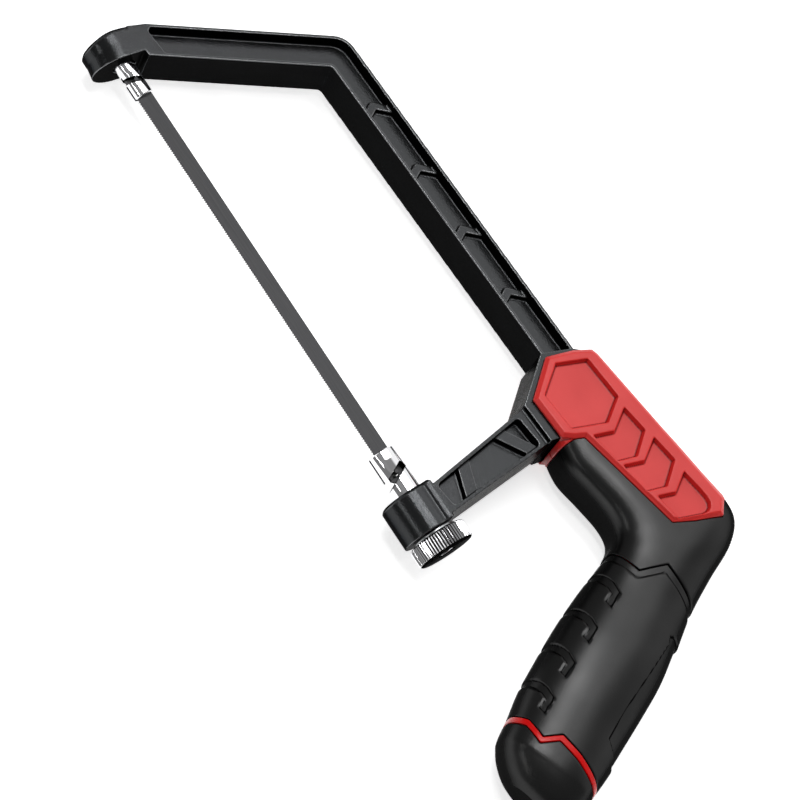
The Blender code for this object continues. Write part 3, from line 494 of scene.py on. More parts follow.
@dataclass(frozen=True)
class Coat:
    """Powder coat or moulded plastic, in a second colour where its surface turns.

    turned is the span of mark_turns over which the second colour comes in: above 0 it lies along
    edges, as a painted highlight and as rubbed wear, and below 0 in corners, as painted shade.
    grain and cloud are textures' feature
    sizes and details: grain lifts the skin by bump's strength and height, and cloud steers its
    gloss and mottles it. flake is how far metal flake or carbon in it answers light as a dark metal
    does: a soft sheen where it faces the light, and next to none at a glancing view, so that its
    sides stay black.
    """

    name: str
    colour: str
    second: str
    roughness: Point2
    spark: float
    bump: Point2
    flake: float = 0.0
    glance: str = "ffffff"
    turned: Point2 = (-0.2, -0.9)
    mottle: float = 0.12
    grain: Point2 = (0.22, 2.0)
    cloud: Point2 = (14.0, 3.0)

    def material(self) -> Material:
        """Make the material.

        Returns:
            The material.
        """
        material, tree, shader = new_material(self.name, {
            "Metallic": self.flake, "Specular IOR Level": self.spark,
            "Specular Tint": linear(self.glance)})
        place = add_node(tree, "ShaderNodeTexCoord").outputs["Object"]
        grain, cloud = (add_node(tree, "ShaderNodeTexNoise", {
            "Scale": per_metre(size), "Detail": detail}, {"Vector": place}).outputs["Fac"]
            for size, detail in (self.grain, self.cloud))
        turn = add_node(tree, "ShaderNodeAttribute", {"attribute_name": "turn"}).outputs["Fac"]
        # Along edges the second colour is a painted highlight with rubbed wear; in corners it is
        # painted shade.
        turned, mottled, rough = (add_node(tree, "ShaderNodeMapRange", {
            "From Min": span[0], "From Max": span[1], "To Min": result[0], "To Max": result[1]},
            {"Value": value}).outputs["Result"] for value, span, result in (
                (turn, self.turned, (0.0, 1.0)), (cloud, CLOUD_SPAN, (0.0, self.mottle)),
                (cloud, CLOUD_SPAN, self.roughness)))
        share = add_node(tree, "ShaderNodeMath", {"operation": "MAXIMUM"}, {0: turned, 1: mottled})
        colour = add_node(tree, "ShaderNodeMix", {
            "data_type": "RGBA", 6: linear(self.colour), 7: linear(self.second)},
            {0: share.outputs["Value"]})
        bump = add_node(tree, "ShaderNodeBump", {
            "Strength": self.bump[0], "Distance": self.bump[1] * MM}, {"Height": grain})
        connect(shader, {"Base Color": colour.outputs[2], "Roughness": rough,
                         "Normal": bump.outputs["Normal"]})
        return material


@dataclass
class Finishes:
    """Every finish of the saw, made once. The powder coat's grain is drawn coarse, to show."""

    # Its second colour lightens the edges: a painted highlight, and also rubbed wear.
    powder_coat: Material = field(default_factory=Coat(
        "powder_coat", "353637", "767778", (0.18, 0.25), 0.2, (1.0, 0.045), 0.95, "404040",
        (0.2, 1.0), 0.0, (0.5, 3.0), (9.0, 4.0)).material)
    chrome: Material = field(default_factory=Metal(
        "hard_chrome", "e9e9eb", None, (1.6, 1.6), (0.03, 0.075), (0.08, 0.004), 5.0,
        matt=CLOUD_SPAN).material)
    tool_steel: Material = field(default_factory=Metal(
        "tool_steel", "3d3d3e", "343435", (9.0, 0.16), (0.36, 0.5), (0.25, 0.01)).material)
    # A dark steel without reflection, put on faces that lie in shade: painted shade.
    painted_shade: Material = field(default_factory=Metal(
        "painted_shade_steel", "1c1c1d", "101011", (1.0, 0.16), (0.36, 0.5), (0.25, 0.01),
        glance="000000").material)
    zinc: Material = field(default_factory=Metal(
        "zinc_plate", "c3c5c6", "9c9fa1", (1.1, 1.1), (0.22, 0.42), (0.15, 0.01),
        spread=(0.35, 0.65)).material)
    # Its second colour darkens corners and recess edges as painted shade, and also mottles the tone
    # at random.
    red: Material = field(default_factory=Coat(
        "red_polypropylene", "d42a27", "760505", (0.34, 0.44), 0.42, (0.12, 0.02)).material)
    # Its second colour darkens corners as painted shade, and also mottles the tone at random.
    red_gloss: Material = field(default_factory=Coat(
        "red_gloss_band", "c80606", "7c0404", (0.2, 0.3), 0.2, (0.03, 0.02)).material)
    # Its second colour darkens corners and creases as painted shade, and also mottles the tone at
    # random.
    rubber: Material = field(default_factory=Coat(
        "soft_grip_rubber", "373737", "0b0b0b", (0.29, 0.36), 0.2, (0.1, 0.02), 0.95,
        "404040").material)


def fit(piece: Piece, material: Material, body: Body, slot: Slot,
        *nodes: str) -> None:
    """Dress a finished piece and hand it to its moving body.

    Args:
        piece: the piece, in place.
        material: its finish, for a piece that has none yet.
        body: the body it rides on.
        slot: the record's slot that its finish comes from; not used.
        nodes: the CAD nodes that it stands for.
    """
    if not piece.data.materials:
        piece.data.materials.append(material)
    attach(piece, body.value)
    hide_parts(*nodes)
    log.info("%s: %d faces, stands for %s", piece.name, len(piece.data.polygons),
             ", ".join(nodes))


def coat_twice(finishes: Finishes, *pieces: Piece) -> None:
    """Give pieces the chrome as their first material and the dark painted-shade steel as their
    second.

    Args:
        finishes: the saw's finishes.
        pieces: the pieces to coat.
    """
    for piece in pieces:
        piece.data.materials.append(finishes.chrome)
        piece.data.materials.append(finishes.painted_shade)


# ---------------------------------------------------------------- bow

@dataclass
class Bow:
    """The die-cast bow and the washer that stays in its front boss."""

    voxel: float = 0.2
    passes: int = 6
    kept: float = 0.2
    front_radius: float = 9.6
    front_middle: Point2 = (-10.2, -0.5)
    front_half: float = 4.15
    front_lean: float = math.radians(-10)
    front_chamfer: float = 1.0
    front_top: float = 7.1
    front_end: tuple[Point2, ...] = ((-15.5, -10.2), (-15.75, -6.0), (-15.9, -3.0),
                                     (-15.75, -0.2), (-14.9, 3.6), (-13.6, 6.6), (-12.4, 9.8))
    cheek_root: float = -11.8
    cheek_steps: int = 6
    corner_start: int = 2
    corner_end: float = -25.0
    corner_top: float = 13.0
    corner_half: float = 12.0
    rear_radius: float = 9.5
    rear_span: Point2 = (153.8, 167.6)
    rear_drop: float = 0.8
    rear_chamfer: float = 0.9
    rear_start: float = math.radians(105)
    skin: float = 1.5
    turned_steps: int = 60
    washer_bore: float = 2.7
    washer_rim: float = 4.45
    washer_edge: float = 0.08

    def half_round(self, radius: float, start: float, low: float, high: float, chamfer: float,
                   middle: Point3) -> Piece:
        """Make the smooth outer skin of a boss's round side, chamfered at its low end.

        Args:
            radius: the boss's radius.
            start: the angle from +Y at which the round side begins and, on the far side, ends.
            low: its chamfered end, along the blade's axis from its middle.
            high: its other end.
            chamfer: the chamfer's size.
            middle: the middle that the other sizes are drawn from.

        Returns:
            The skin.
        """
        turns = [start + (math.tau - 2 * start) * k / self.turned_steps
                 for k in range(self.turned_steps + 1)]
        x, y, z = middle
        return loft("half_round", [
            [(x + place, y + reach * math.cos(turn), z + reach * math.sin(turn))
             for reach, way in ((outer, 1), (radius - self.skin, -1)) for turn in turns[::way]]
            for place, outer in ((low, radius - chamfer), (low + chamfer, radius),
                                 (high, radius))])

    def front_skin(self) -> Piece:
        """Make the front boss's smooth round side, leaning as the boss does.

        Returns:
            The skin.
        """
        middle = (*self.front_middle, 0.0)
        skin = self.half_round(self.front_radius, math.pi / 2, -self.front_half, self.front_half,
                               self.front_chamfer, middle)
        pivot = Matrix.Translation(world(middle))
        skin.data.transform(pivot @ Matrix.Rotation(self.front_lean, 4, "Z") @ pivot.inverted())
        return skin

    def end_at(self, y: float) -> float:
        """Give where the front boss's end lies along the blade's axis at a height.

        Args:
            y: the height, in millimetres.

        Returns:
            The place along the axis, in millimetres.
        """
        for (low_x, low_y), (high_x, high_y) in zip(self.front_end, self.front_end[1:]):
            if y <= high_y:
                break
        return low_x + (high_x - low_x) * (y - low_y) / (high_y - low_y)

    def cheek(self) -> Piece:
        """Make the front boss's rounded outer end, which runs on into the arm's outer edge.

        Returns:
            The solid.
        """
        radius, drop, steps = self.front_radius, self.front_middle[1], self.turned_steps
        outline = [(drop + y, z) for y, z in circle(radius, 2 * steps, math.pi / 2)[:steps + 1]]
        rise = [(drop + (self.front_top - drop) * k / self.cheek_steps, -radius)
                for k in range(1, self.cheek_steps + 1)]
        outline += rise + [(y, -z) for y, z in reversed(rise)]
        share = 1.0 - self.front_chamfer / radius
        drawn_in = [(drop + (y - drop) * share, z * share) for y, z in outline]
        return loft("cheek", [[(self.end_at(y), y, z) for y, z in drawn_in],
                              [(self.end_at(y) + self.front_chamfer, y, z) for y, z in outline],
                              [(self.cheek_root, y, z) for y, z in outline]])

    def cast(self, finishes: Finishes) -> None:
        """Remake the bow with smoothly turned bosses, a rounded front foot and cast edges.

        Args:
            finishes: the saw's finishes.
        """
        bow = twin("bow_casting", frame["nodes"]["frame"])
        edge = self.front_end[self.corner_start:]
        carve(bow, Cut.AWAY, prism("corner", [
            (self.corner_end, edge[0][1]), *edge, (self.corner_end, self.corner_top)],
            -self.corner_half, self.corner_half))
        low, high = self.rear_span
        rear = self.half_round(self.rear_radius, self.rear_start, 0.0, high - low,
                               self.rear_chamfer, (low, -self.rear_drop, 0.0))
        carve(bow, Cut.TOGETHER, self.front_skin(), rear, self.cheek())
        recast(bow, self.voxel, self.passes, self.kept)
        fit(bow, finishes.powder_coat, Body.BOW, Slot.CAST_BLACK, "frame")

    def front_washer(self, finishes: Finishes) -> None:
        """Turn the plain washer behind the front boss's inner wall, with broken edges.

        Args:
            finishes: the saw's finishes.
        """
        low, high = saw_span("front_washer")
        bore, edge = self.washer_bore, self.washer_edge
        washer = turned("boss_washer", [
            (low, bore + edge), *rod(low, high, self.washer_rim, edge), (high, bore + edge),
            (high - edge, bore), (low + edge, bore)], ROUND, looped=True)
        shade(washer, MACHINED)
        fit(washer, finishes.zinc, Body.BOW, Slot.ZINC_PLATED_STEEL, "front_washer")


# ---------------------------------------------------------------- blade

@dataclass
class Blade:
    """The toothed strip and its two cross pins."""

    spacing: float = 146.0
    end: float = 2.5
    width: float = 5.4
    thickness: float = 0.65
    corner: float = 0.8
    pitch: float = 0.8
    depth: float = 0.45
    gullet: float = 0.2
    plain: float = 8.0
    wave: float = 6.4
    set_out: float = 0.1
    set_from: float = 0.1
    parting: float = 0.08
    broken: float = 0.05
    broken_over: float = 60.0
    sharp: float = 20.0
    hole_play: float = 0.2
    pin_radius: float = 0.75
    pin_length: float = 5.6
    pin_edge: float = 0.12

    def outline(self) -> Outline:
        """Trace the strip: a straight back, clipped corners and the row of teeth.

        Returns:
            The points of the side view, in order.
        """
        left, right = -self.end, self.spacing + self.end
        top, tip = self.width / 2, -self.width / 2
        root = tip + self.depth
        first = left + self.plain
        teeth = int((right - self.plain - first) / self.pitch)
        points = [(right - self.corner, tip), (right, tip + self.corner),
                  (right, top - self.corner), (right - self.corner, top),
                  (left + self.corner, top), (left, top - self.corner),
                  (left, tip + self.corner), (left + self.corner, tip)]
        for i in range(teeth + 1):
            x = first + i * self.pitch
            if i:
                points.append((x, root))
            points.append((x, tip))
            if i < teeth:
                points.append((x + self.gullet, root))
        return points

    def strip(self, finishes: Finishes) -> None:
        """Make the blade with its holes, its broken edges and the wave set of its teeth.

        Args:
            finishes: the saw's finishes.
        """
        half, hole = self.thickness / 2, self.pin_radius + self.hole_play
        strip = prism("blade_strip", self.outline(), -half, half)
        for x in (0.0, self.spacing):
            carve(strip, Cut.AWAY, upright("hole", (x, 0.0), [(-PAST, hole), (PAST, hole)],
                                           SMALL_ROUND))
        soften(strip, self.broken, 1, self.broken_over)
        root = ORIGIN.y + (self.depth - self.width / 2) * MM
        self.part_teeth(strip, root + self.parting * MM)
        shade(strip, self.sharp)
        for vertex in strip.data.vertices:
            below = (root - vertex.co.y) / (self.depth * MM)
            if below > self.set_from:
                along = (vertex.co.x - ORIGIN.x) / MM
                swing = math.sin(math.tau * along / self.wave) * min(below, 1.0)
                vertex.co.z += self.set_out * MM * swing
        fit(strip, finishes.tool_steel, Body.BLADE_CARRIER, Slot.BLADE_STEEL, "blade")

    def part_teeth(self, strip: Piece, line: float) -> None:
        """Part the teeth's faces from the sides along a line, so that the set leaves them flat.

        Args:
            strip: the blade.
            line: the height of the line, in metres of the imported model.
        """
        shape = bmesh.new()
        shape.from_mesh(strip.data)
        bmesh.ops.bisect_plane(shape, geom=[*shape.verts, *shape.edges, *shape.faces],
                               plane_co=(0.0, line, 0.0), plane_no=(0.0, 1.0, 0.0))
        bmesh.ops.triangulate(shape, faces=[
            face for face in shape.faces if face.calc_center_median().y < line])
        shape.to_mesh(strip.data)
        shape.free()

    def pins(self, finishes: Finishes) -> None:
        """Make the two cross pins with broken ends.

        Args:
            finishes: the saw's finishes.
        """
        half = self.pin_length / 2
        profile = rod(-half, half, self.pin_radius, self.pin_edge)
        for end, x in (("front", 0.0), ("rear", self.spacing)):
            pin = upright(f"{end}_cross_pin", (x, 0.0), profile, SMALL_ROUND)
            shade(pin, MACHINED)
            fit(pin, finishes.tool_steel, Body.BLADE_CARRIER, Slot.BLADE_STEEL, f"blade_pin_{end}")


# ---------------------------------------------------------------- holders and knob

@dataclass
class Holder:
    """A turned and slotted blade holder with the leaning notch that a cross pin drops into.

    towards is +1 where the blade pulls the pin to +X and -1 where it pulls it to -X. reach is how
    far the notch runs past the pin, and play is the pin's room along the blade.
    """

    name: str
    node: str
    body: Body
    pin_x: float
    towards: int
    profile: Outline
    slot: Point2
    lean: float
    reach: float
    play: float
    radius: float
    slot_half: float = 0.625
    notch_half: float = 0.95
    corner: float = 0.57
    corner_steps: int = 6
    margin: float = 2.0
    sides: int = 128
    edge: float = 0.1

    def notch(self) -> Piece:
        """Make the notch's cutter, with a round corner on each side of its inner end.

        Returns:
            The cutter.
        """
        across = Vector((self.towards * math.cos(self.lean), -math.sin(self.lean)))
        along = Vector((self.towards * math.sin(self.lean), math.cos(self.lean)))
        pin, wide, corner = Vector((self.pin_x, 0.0)), self.radius + self.margin, self.corner
        slack = self.notch_half + self.play * math.cos(self.lean)
        down = along * (wide / math.cos(self.lean) + self.play)
        points = [pin + across * self.notch_half - down]
        for side, start in ((self.notch_half - corner, 0.0), (corner - slack, math.pi / 2)):
            centre = pin + along * (self.reach - corner) + across * side
            for k in range(self.corner_steps + 1):
                turn = start + math.pi / 2 * k / self.corner_steps
                points.append(centre + (across * math.cos(turn) + along * math.sin(turn)) * corner)
        points.append(pin - across * slack - down)
        return prism("notch", [tuple(point) for point in points], -wide, wide)

    def make(self, finishes: Finishes, *cutters: Piece) -> None:
        """Turn, slot and notch the holder, then break its edges.

        Args:
            finishes: the saw's finishes.
            cutters: anything else that is cut from it.
        """
        holder = turned(self.name, self.profile, self.sides)
        wide = self.radius + self.margin
        low, high = self.slot
        milled = (prism("slot", [(low, -wide), (high, -wide), (high, wide), (low, wide)],
                        -self.slot_half, self.slot_half), self.notch())
        coat_twice(finishes, holder, *milled)
        # The slot's and the notch's cut faces take the second material, a painted shade.
        for tool in milled:
            tool.data.polygons.foreach_set("material_index", [1] * len(tool.data.polygons))
        carve(holder, Cut.AWAY, *milled, *cutters)
        soften(holder, self.edge)
        fit(holder, finishes.chrome, self.body, Slot.CHROMED_STEEL, self.node)


@dataclass
class Knob:
    """The straight-knurled tension knob and the washer under it."""

    radius: float = 9.5
    chamfer: float = 0.6
    knurls: int = 60
    knurl_depth: float = 0.5
    knurl_sharpness: float = 0.7
    points_per_knurl: int = 10
    face_inset: float = 0.12
    face_step: float = 0.06
    mouth: float = 0.3
    # How far in from the outer face the painted shade reaches.
    painted_shade_end: float = 0.35
    groove_shade: float = 0.72
    sharp: float = 28.0
    bore: float = 2.7
    washer_rim: float = 7.0
    washer_edge: float = 0.08
    washer_sides: int = 128
    stud_flat: float = 2.3

    def section(self, x: float, radius: float, knurled: bool = False) -> list[Point3]:
        """Trace one section of the knob, plain or with the part of the knurl under a radius.

        Args:
            x: the section's place along the blade's axis.
            radius: how far out it reaches.
            knurled: True lets the knurl cut into it.

        Returns:
            The section's points.
        """
        count = self.knurls * self.points_per_knurl
        ring = []
        for i in range(count):
            swing = 0.5 - 0.5 * math.cos(math.tau * i / self.points_per_knurl)
            cut = self.radius - self.knurl_depth * swing ** self.knurl_sharpness
            reach = min(radius, cut) if knurled else radius
            angle = math.tau * i / count
            ring.append((x, reach * math.cos(angle), reach * math.sin(angle)))
        return ring

    def end(self, x: float, inwards: int) -> list[list[Point3]]:
        """Trace the five sections of one end, from its mouth to the full knurl.

        Args:
            x: the end's place along the blade's axis.
            inwards: +1 or -1, the way from it into the knob.

        Returns:
            The sections, in order.
        """
        foot, chamfer = self.radius - self.chamfer, self.chamfer
        return [self.section(x, self.bore + self.mouth), self.section(x, foot - self.face_inset),
                self.section(x + inwards * self.face_step, foot, True),
                self.section(x + inwards * chamfer / 2, foot + chamfer / 2, True),
                self.section(x + inwards * chamfer, self.radius, True)]

    def make(self, finishes: Finishes) -> None:
        """Make the knob, with its outer face and the bottoms of its grooves painted dark as shade.

        Args:
            finishes: the saw's finishes.
        """
        low, high = saw_span("tension_knob")
        knob = loft("knurled_knob", [*self.end(low, 1), *reversed(self.end(high, -1)),
                                     self.section(high - self.mouth, self.bore),
                                     self.section(low + self.mouth, self.bore)], looped=True)
        coat_twice(finishes, knob)
        # Painted shade: the outer face and the groove bottoms take the dark second material.
        end = ORIGIN.x + (high - self.painted_shade_end) * MM
        inner = 2 * self.bore * MM
        groove = (self.radius - self.groove_shade * self.knurl_depth) * MM
        for side in knob.data.polygons:
            off_axis = math.hypot(side.center.y - ORIGIN.y, side.center.z - ORIGIN.z)
            side.material_index = int(side.center.x > end or inner < off_axis < groove)
        shade(knob, self.sharp)
        fit(knob, finishes.chrome, Body.KNOB, Slot.CHROMED_STEEL, "tension_knob")

    def washer(self, finishes: Finishes) -> None:
        """Make the washer between the rear boss and the knob, with its flatted hole.

        Args:
            finishes: the saw's finishes.
        """
        low, high = saw_span("thrust_washer")
        washer = turned("tension_washer_disc",
                        rod(low, high, self.washer_rim, self.washer_edge), self.washer_sides)
        hole = [(y, min(z, self.stud_flat)) for y, z in circle(self.bore, ROUND)]
        carve(washer, Cut.AWAY, bar("hole", hole, low - PAST, high + PAST))
        shade(washer, MACHINED)
        fit(washer, finishes.zinc, Body.BLADE_CARRIER, Slot.ZINC_PLATED_STEEL, "thrust_washer")


# ---------------------------------------------------------------- handle

@dataclass(frozen=True)
class Section:
    """One section of the handle: front and back in the side view, half thickness, squareness."""

    front: Point2
    back: Point2
    half_depth: float
    squareness: float


SECTIONS = tuple(Section(*row) for row in (
    ((8.5, -13.4), (8.5, 17.0), 14.0, 4.5), ((17.0, -14.7), (16.8, 18.4), 14.0, 4.5),
    ((26.0, -13.2), (27.8, 20.2), 14.0, 4.5), ((34.4, -12.1), (39.8, 22.0), 14.0, 4.2),
    ((39.9, -12.7), (48.8, 23.8), 14.0, 3.8), ((43.1, -14.8), (56.8, 23.2), 14.0, 3.4),
    ((45.3, -18.4), (62.9, 17.3), 14.0, 3.0), ((46.9, -22.4), (68.2, 6.2), 13.8, 2.7),
    ((48.6, -27.7), (74.7, -6.0), 13.8, 2.5), ((51.2, -34.7), (82.3, -17.1), 14.3, 2.4),
    ((55.3, -44.4), (88.4, -26.6), 14.8, 2.4), ((60.4, -54.8), (93.4, -36.8), 14.8, 2.4),
    ((65.4, -64.4), (98.0, -46.9), 14.5, 2.4), ((70.6, -72.2), (102.1, -56.2), 14.3, 2.5),
    ((74.3, -78.2), (105.3, -64.7), 14.2, 2.6), ((76.2, -80.0), (106.6, -68.6), 13.6, 2.6),
    ((79.5, -82.0), (107.1, -73.0), 12.2, 2.6), ((84.0, -83.6), (106.3, -77.6), 9.8, 2.6),
    ((88.5, -84.3), (103.8, -80.6), 6.5, 2.6)))
FRONTS, BACKS, DEPTHS, POWERS = zip(*(
    (Vector(section.front), Vector(section.back), section.half_depth, section.squareness)
    for section in SECTIONS))
# Lines on the handle in the side view, from the hub's centre; GRIP_WAY points down the grip.
SEAM = ((30.0, -21.5), (45.5, -18.0), (55.1, -15.7), (58.2, -6.9), (72.0, -5.7), (100.0, -8.0))
RING = ((60.0, -76.0), (73.0, -73.4), (76.0, -72.0), (82.8, -72.2), (85.6, -66.7), (93.0, -65.3),
        (102.0, -64.6), (120.0, -63.6))
GRIP_WAY = (0.5, -0.866)
RED_EDGE = ((-200.0, -200.0), (11.0, -200.0), (11.0, -9.6), (12.3, -6.7), (48.3, 1.65),
            (51.6, 8.35), (54.75, 17.2), (50.2, 20.95), (50.2, 200.0), (-200.0, 200.0))
HEXAGON = ((-11.9, -1.2), (-8.1, 8.5), (6.6, 9.9), (11.9, 2.3), (7.8, -8.8), (-5.2, -10.0))
ARROW = ((-8.7, 5.5), (0.5, 7.0), (6.2, 0.0), (4.4, -6.2), (-6.2, -8.2), (-4.0, -1.5))
LAST_ARROW = ((-7.5, 4.7), (-0.4, 6.0), (2.6, 6.4), (4.6, 6.2), (6.0, 5.3), (6.7, 4.0),
              (6.7, 2.5), (6.1, 1.1), (3.9, -5.3), (-5.3, -7.1), (-3.4, -1.3))
FINGER_MARK = ((-3.0, -1.6), (0.9, 0.1), (2.7, 0.5), (5.0, 0.7), (9.0, 0.0), (11.3, -5.4),
               (8.5, -5.6), (7.3, -2.4), (5.0, -2.1), (-3.0, -3.4))
FINGER_PLACES = ((49.0, -24.8), (54.4, -37.3), (59.7, -49.5), (65.4, -61.2))
BACK_RECESS = ((76.9, -18.2), (77.5, -16.7), (80.2, -16.0), (90.0, -14.0), (110.0, -56.0),
               (100.1, -55.9), (98.8, -54.2), (93.2, -53.6), (88.4, -44.0), (78.8, -19.9))


def shifted(line: Outline, distance: float) -> Outline:
    """Move a line down the grip by a distance."""
    return [(x + GRIP_WAY[0] * distance, y + GRIP_WAY[1] * distance) for x, y in line]


def beyond(line: Outline, x: float, y: float) -> float:
    """Measure how far a place lies on the butt side of a line across the grip.

    Args:
        line: the line, from the fingers' side to the palm's side.
        x: the place along the blade's axis, from the hub.
        y: its height above the hub.

    Returns:
        The distance in millimetres, negative on the blade's side.
    """
    nearest, result = math.inf, 0.0
    last = len(line) - 2
    for k in range(last + 1):
        (ax, ay), (bx, by) = line[k], line[k + 1]
        dx, dy = bx - ax, by - ay
        length = math.hypot(dx, dy)
        share = ((x - ax) * dx + (y - ay) * dy) / length ** 2
        if k > 0:
            share = max(share, 0.0)
        if k < last:
            share = min(share, 1.0)
        ex, ey = x - ax - dx * share, y - ay - dy * share
        gap = math.hypot(ex, ey)
        across = (ex * dy - ey * dx) / length
        if gap < nearest - EVEN or (gap < nearest + EVEN and abs(across) > abs(result)):
            nearest, result = gap, math.copysign(gap, across)
    return result


def inside(outline: Outline, x: float, y: float) -> float:
    """Measure how deep a place lies inside a closed outline, negative outside it.

    Args:
        outline: the closed outline.
        x: the place along the blade's axis.
        y: its height.

    Returns:
        The distance to the nearest side in millimetres.
    """
    nearest, within = math.inf, False
    for (ax, ay), (bx, by) in zip(outline, [*outline[1:], outline[0]]):
        dx, dy = bx - ax, by - ay
        share = min(max(((x - ax) * dx + (y - ay) * dy) / (dx * dx + dy * dy), 0.0), 1.0)
        nearest = min(nearest, math.hypot(x - ax - dx * share, y - ay - dy * share))
        if (ay > y) != (by > y) and x < ax + (y - ay) * dx / dy:
            within = not within
    return nearest if within else -nearest


def step(value: float, low: float, high: float) -> float:
    """Rise smoothly from 0 at low to 1 at high."""
    share = min(max((value - low) / (high - low), 0.0), 1.0)
    return share * share * (3.0 - 2.0 * share)


def blend(values: Sequence, position: float) -> float | Vector:
    """Read a smooth curve through a list of values at a place between two of them.

    Args:
        values: numbers or vectors.
        position: the place, counted in values.

    Returns:
        The value there.
    """
    index = min(int(position), len(values) - 2)
    share = position - index
    start, end = values[index], values[index + 1]
    slope_in = (end - values[max(index - 1, 0)]) / 2
    slope_out = (values[min(index + 2, len(values) - 1)] - start) / 2
    square, cube = share ** 2, share ** 3
    return (start * (2 * cube - 3 * square + 1) + slope_in * (cube - 2 * square + share)
            + end * (3 * square - 2 * cube) + slope_out * (cube - square))


@dataclass
class GripForm:
    """The smooth form that all the handle's skins follow."""

    inward: float = 0.25
    halvings: int = 22
    stride: float = 0.02

    def place(self, position: float, angle: float, inset: float) -> Vector:
        """Give a place on the form, from the hub's centre.

        Args:
            position: how far down the handle, counted in sections.
            angle: how far round, from the back through the near side.
            inset: how far under the surface.

        Returns:
            The place in millimetres.
        """
        front, back, depth, power = (
            blend(values, position) for values in (FRONTS, BACKS, DEPTHS, POWERS))
        cosine, sine = math.cos(angle), math.sin(angle)
        reach = (abs(cosine) ** power + abs(sine) ** power) ** (-1 / power)
        across = back - front
        drawn_in = inset + self.inward
        wide = (across.length / 2 - drawn_in) * reach * cosine
        middle = (front + back) / 2 + across.normalized() * wide
        return Vector((middle.x, middle.y, (depth - drawn_in) * reach * sine))

    def crossing(self, line: Outline, angle: float, low: float, high: float) -> float:
        """Find where a line across the grip crosses one lengthwise run of the form.

        Args:
            line: the line.
            angle: how far round the run lies.
            low: a position on the run before the crossing.
            high: a position beyond it.

        Returns:
            The position, counted in sections.
        """
        for _ in range(self.halvings):
            middle = (low + high) / 2
            here = self.place(middle, angle, 0.0)
            if beyond(line, here.x, here.y) < 0.0:
                low = middle
            else:
                high = middle
        return (low + high) / 2

    def pace(self, position: float, angle: float) -> float:
        """Give how many millimetres one section's step is here.

        Args:
            position: how far down the handle, counted in sections.
            angle: how far round.

        Returns:
            The length of the step.
        """
        ahead, length = min(position + self.stride, len(SECTIONS) - 1.0), 2 * self.stride
        step_along = self.place(ahead, angle, 0.0) - self.place(ahead - length, angle, 0.0)
        return step_along.length / length


@dataclass
class Skin:
    """One moulded outer piece of the handle, between two lines across it.

    A piece without a top line starts at the hub; one without a bottom line closes over the butt.
    """

    name: str
    node: str
    slot: Slot
    top: Outline | None
    bottom: Outline | None
    span: Point2
    rows: int
    relief: Callable[[float, float], float] | None = None
    columns: int = 240
    wall: float = 2.4
    lip: float = 0.3
    lip_steps: int = 4
    inner_rows: int = 14
    butt_floor: float = 15.1
    butt_insets: Point2 = (1.0, 2.2)
    raised_to: float = 1.0
    sharp: float = 50.0

    def column(self, form: GripForm, angle: float) -> list[Point3]:
        """Trace the piece's outside and inside along one lengthwise run.

        Args:
            form: the handle's form.
            angle: how far round the handle.

        Returns:
            Points from the hub's centre, in the same number for every run.
        """
        low, high = self.span
        start = form.crossing(self.top, angle, low, high) if self.top else low
        stop = form.crossing(self.bottom, angle, low, high) if self.bottom else high
        down, up = self.lip / form.pace(start, angle), self.lip / form.pace(stop, angle)
        turns = [math.pi / 2 * k / self.lip_steps for k in range(self.lip_steps + 1)]
        lips = [(1 - math.cos(turn), self.lip * (1 - math.sin(turn))) for turn in turns]
        path = [(start, self.wall), *((start + down * along, inset) for along, inset in lips)]
        first, last = path[-1][0], stop - up
        path += [(first + (last - first) * k / self.rows, 0.0) for k in range(1, self.rows)]
        path += [(stop - up * along, inset) for along, inset in reversed(lips)]
        if self.bottom:
            path += [(stop + (start - stop) * k / self.inner_rows, self.wall)
                     for k in range(self.inner_rows)]
        else:
            path += [(stop, inset) for inset in self.butt_insets]
            inner = self.butt_floor, (start + self.butt_floor) / 2
            path = [(position, self.wall) for position in inner] + path
        points = []
        for position, inset in path:
            here = form.place(position, angle, 0.0)
            raised = self.relief(here.x, here.y) if self.relief and inset < self.raised_to else 0.0
            points.append(tuple(form.place(position, angle, inset - raised)))
        return points

    def make(self, form: GripForm, material: Material, *cutters: Piece) -> None:
        """Make the piece and dress it.

        Args:
            form: the handle's form.
            material: its finish.
            cutters: solids that trim it.
        """
        runs = [self.column(form, math.tau * k / self.columns) for k in range(self.columns)]
        rings = [[(HUB[0] + x, HUB[1] + y, z) for x, y, z in ring] for ring in zip(*runs)]
        piece = loft(self.name, rings, looped=self.bottom is not None)
        if cutters:
            carve(piece, Cut.AWAY, *cutters)
        shade(piece, self.sharp)
        mark_turns(piece)
        fit(piece, material, Body.BOW, self.slot, self.node)


@dataclass(frozen=True)
class GripRelief:
    """How deep the grip's skin is sunk, and the spans over which its steps fall."""

    seam: float = 0.4
    seam_span: Point2 = (2.2, 2.8)
    mark: float = 0.5
    mark_span: Point2 = (-0.15, 0.25)
    mark_middle: float = 4.0
    mark_reach: float = 12.0
    recess: float = 0.7
    recess_span: Point2 = (-0.15, 0.3)

    def at(self, x: float, y: float) -> float:
        """Sink the finger marks, the recess at the back and the step under the seam.

        Args:
            x: the place along the blade's axis, from the hub.
            y: its height above the hub.

        Returns:
            The height over the plain skin, which is never above 0.
        """
        sunk = self.seam * (1.0 - step(beyond(SEAM, x, y), *self.seam_span))
        for left, top in FINGER_PLACES:
            if math.hypot(x - left - self.mark_middle, y - top) < self.mark_reach:
                sunk += self.mark * step(inside(FINGER_MARK, x - left, y - top), *self.mark_span)
        return -sunk - self.recess * step(inside(BACK_RECESS, x, y), *self.recess_span)


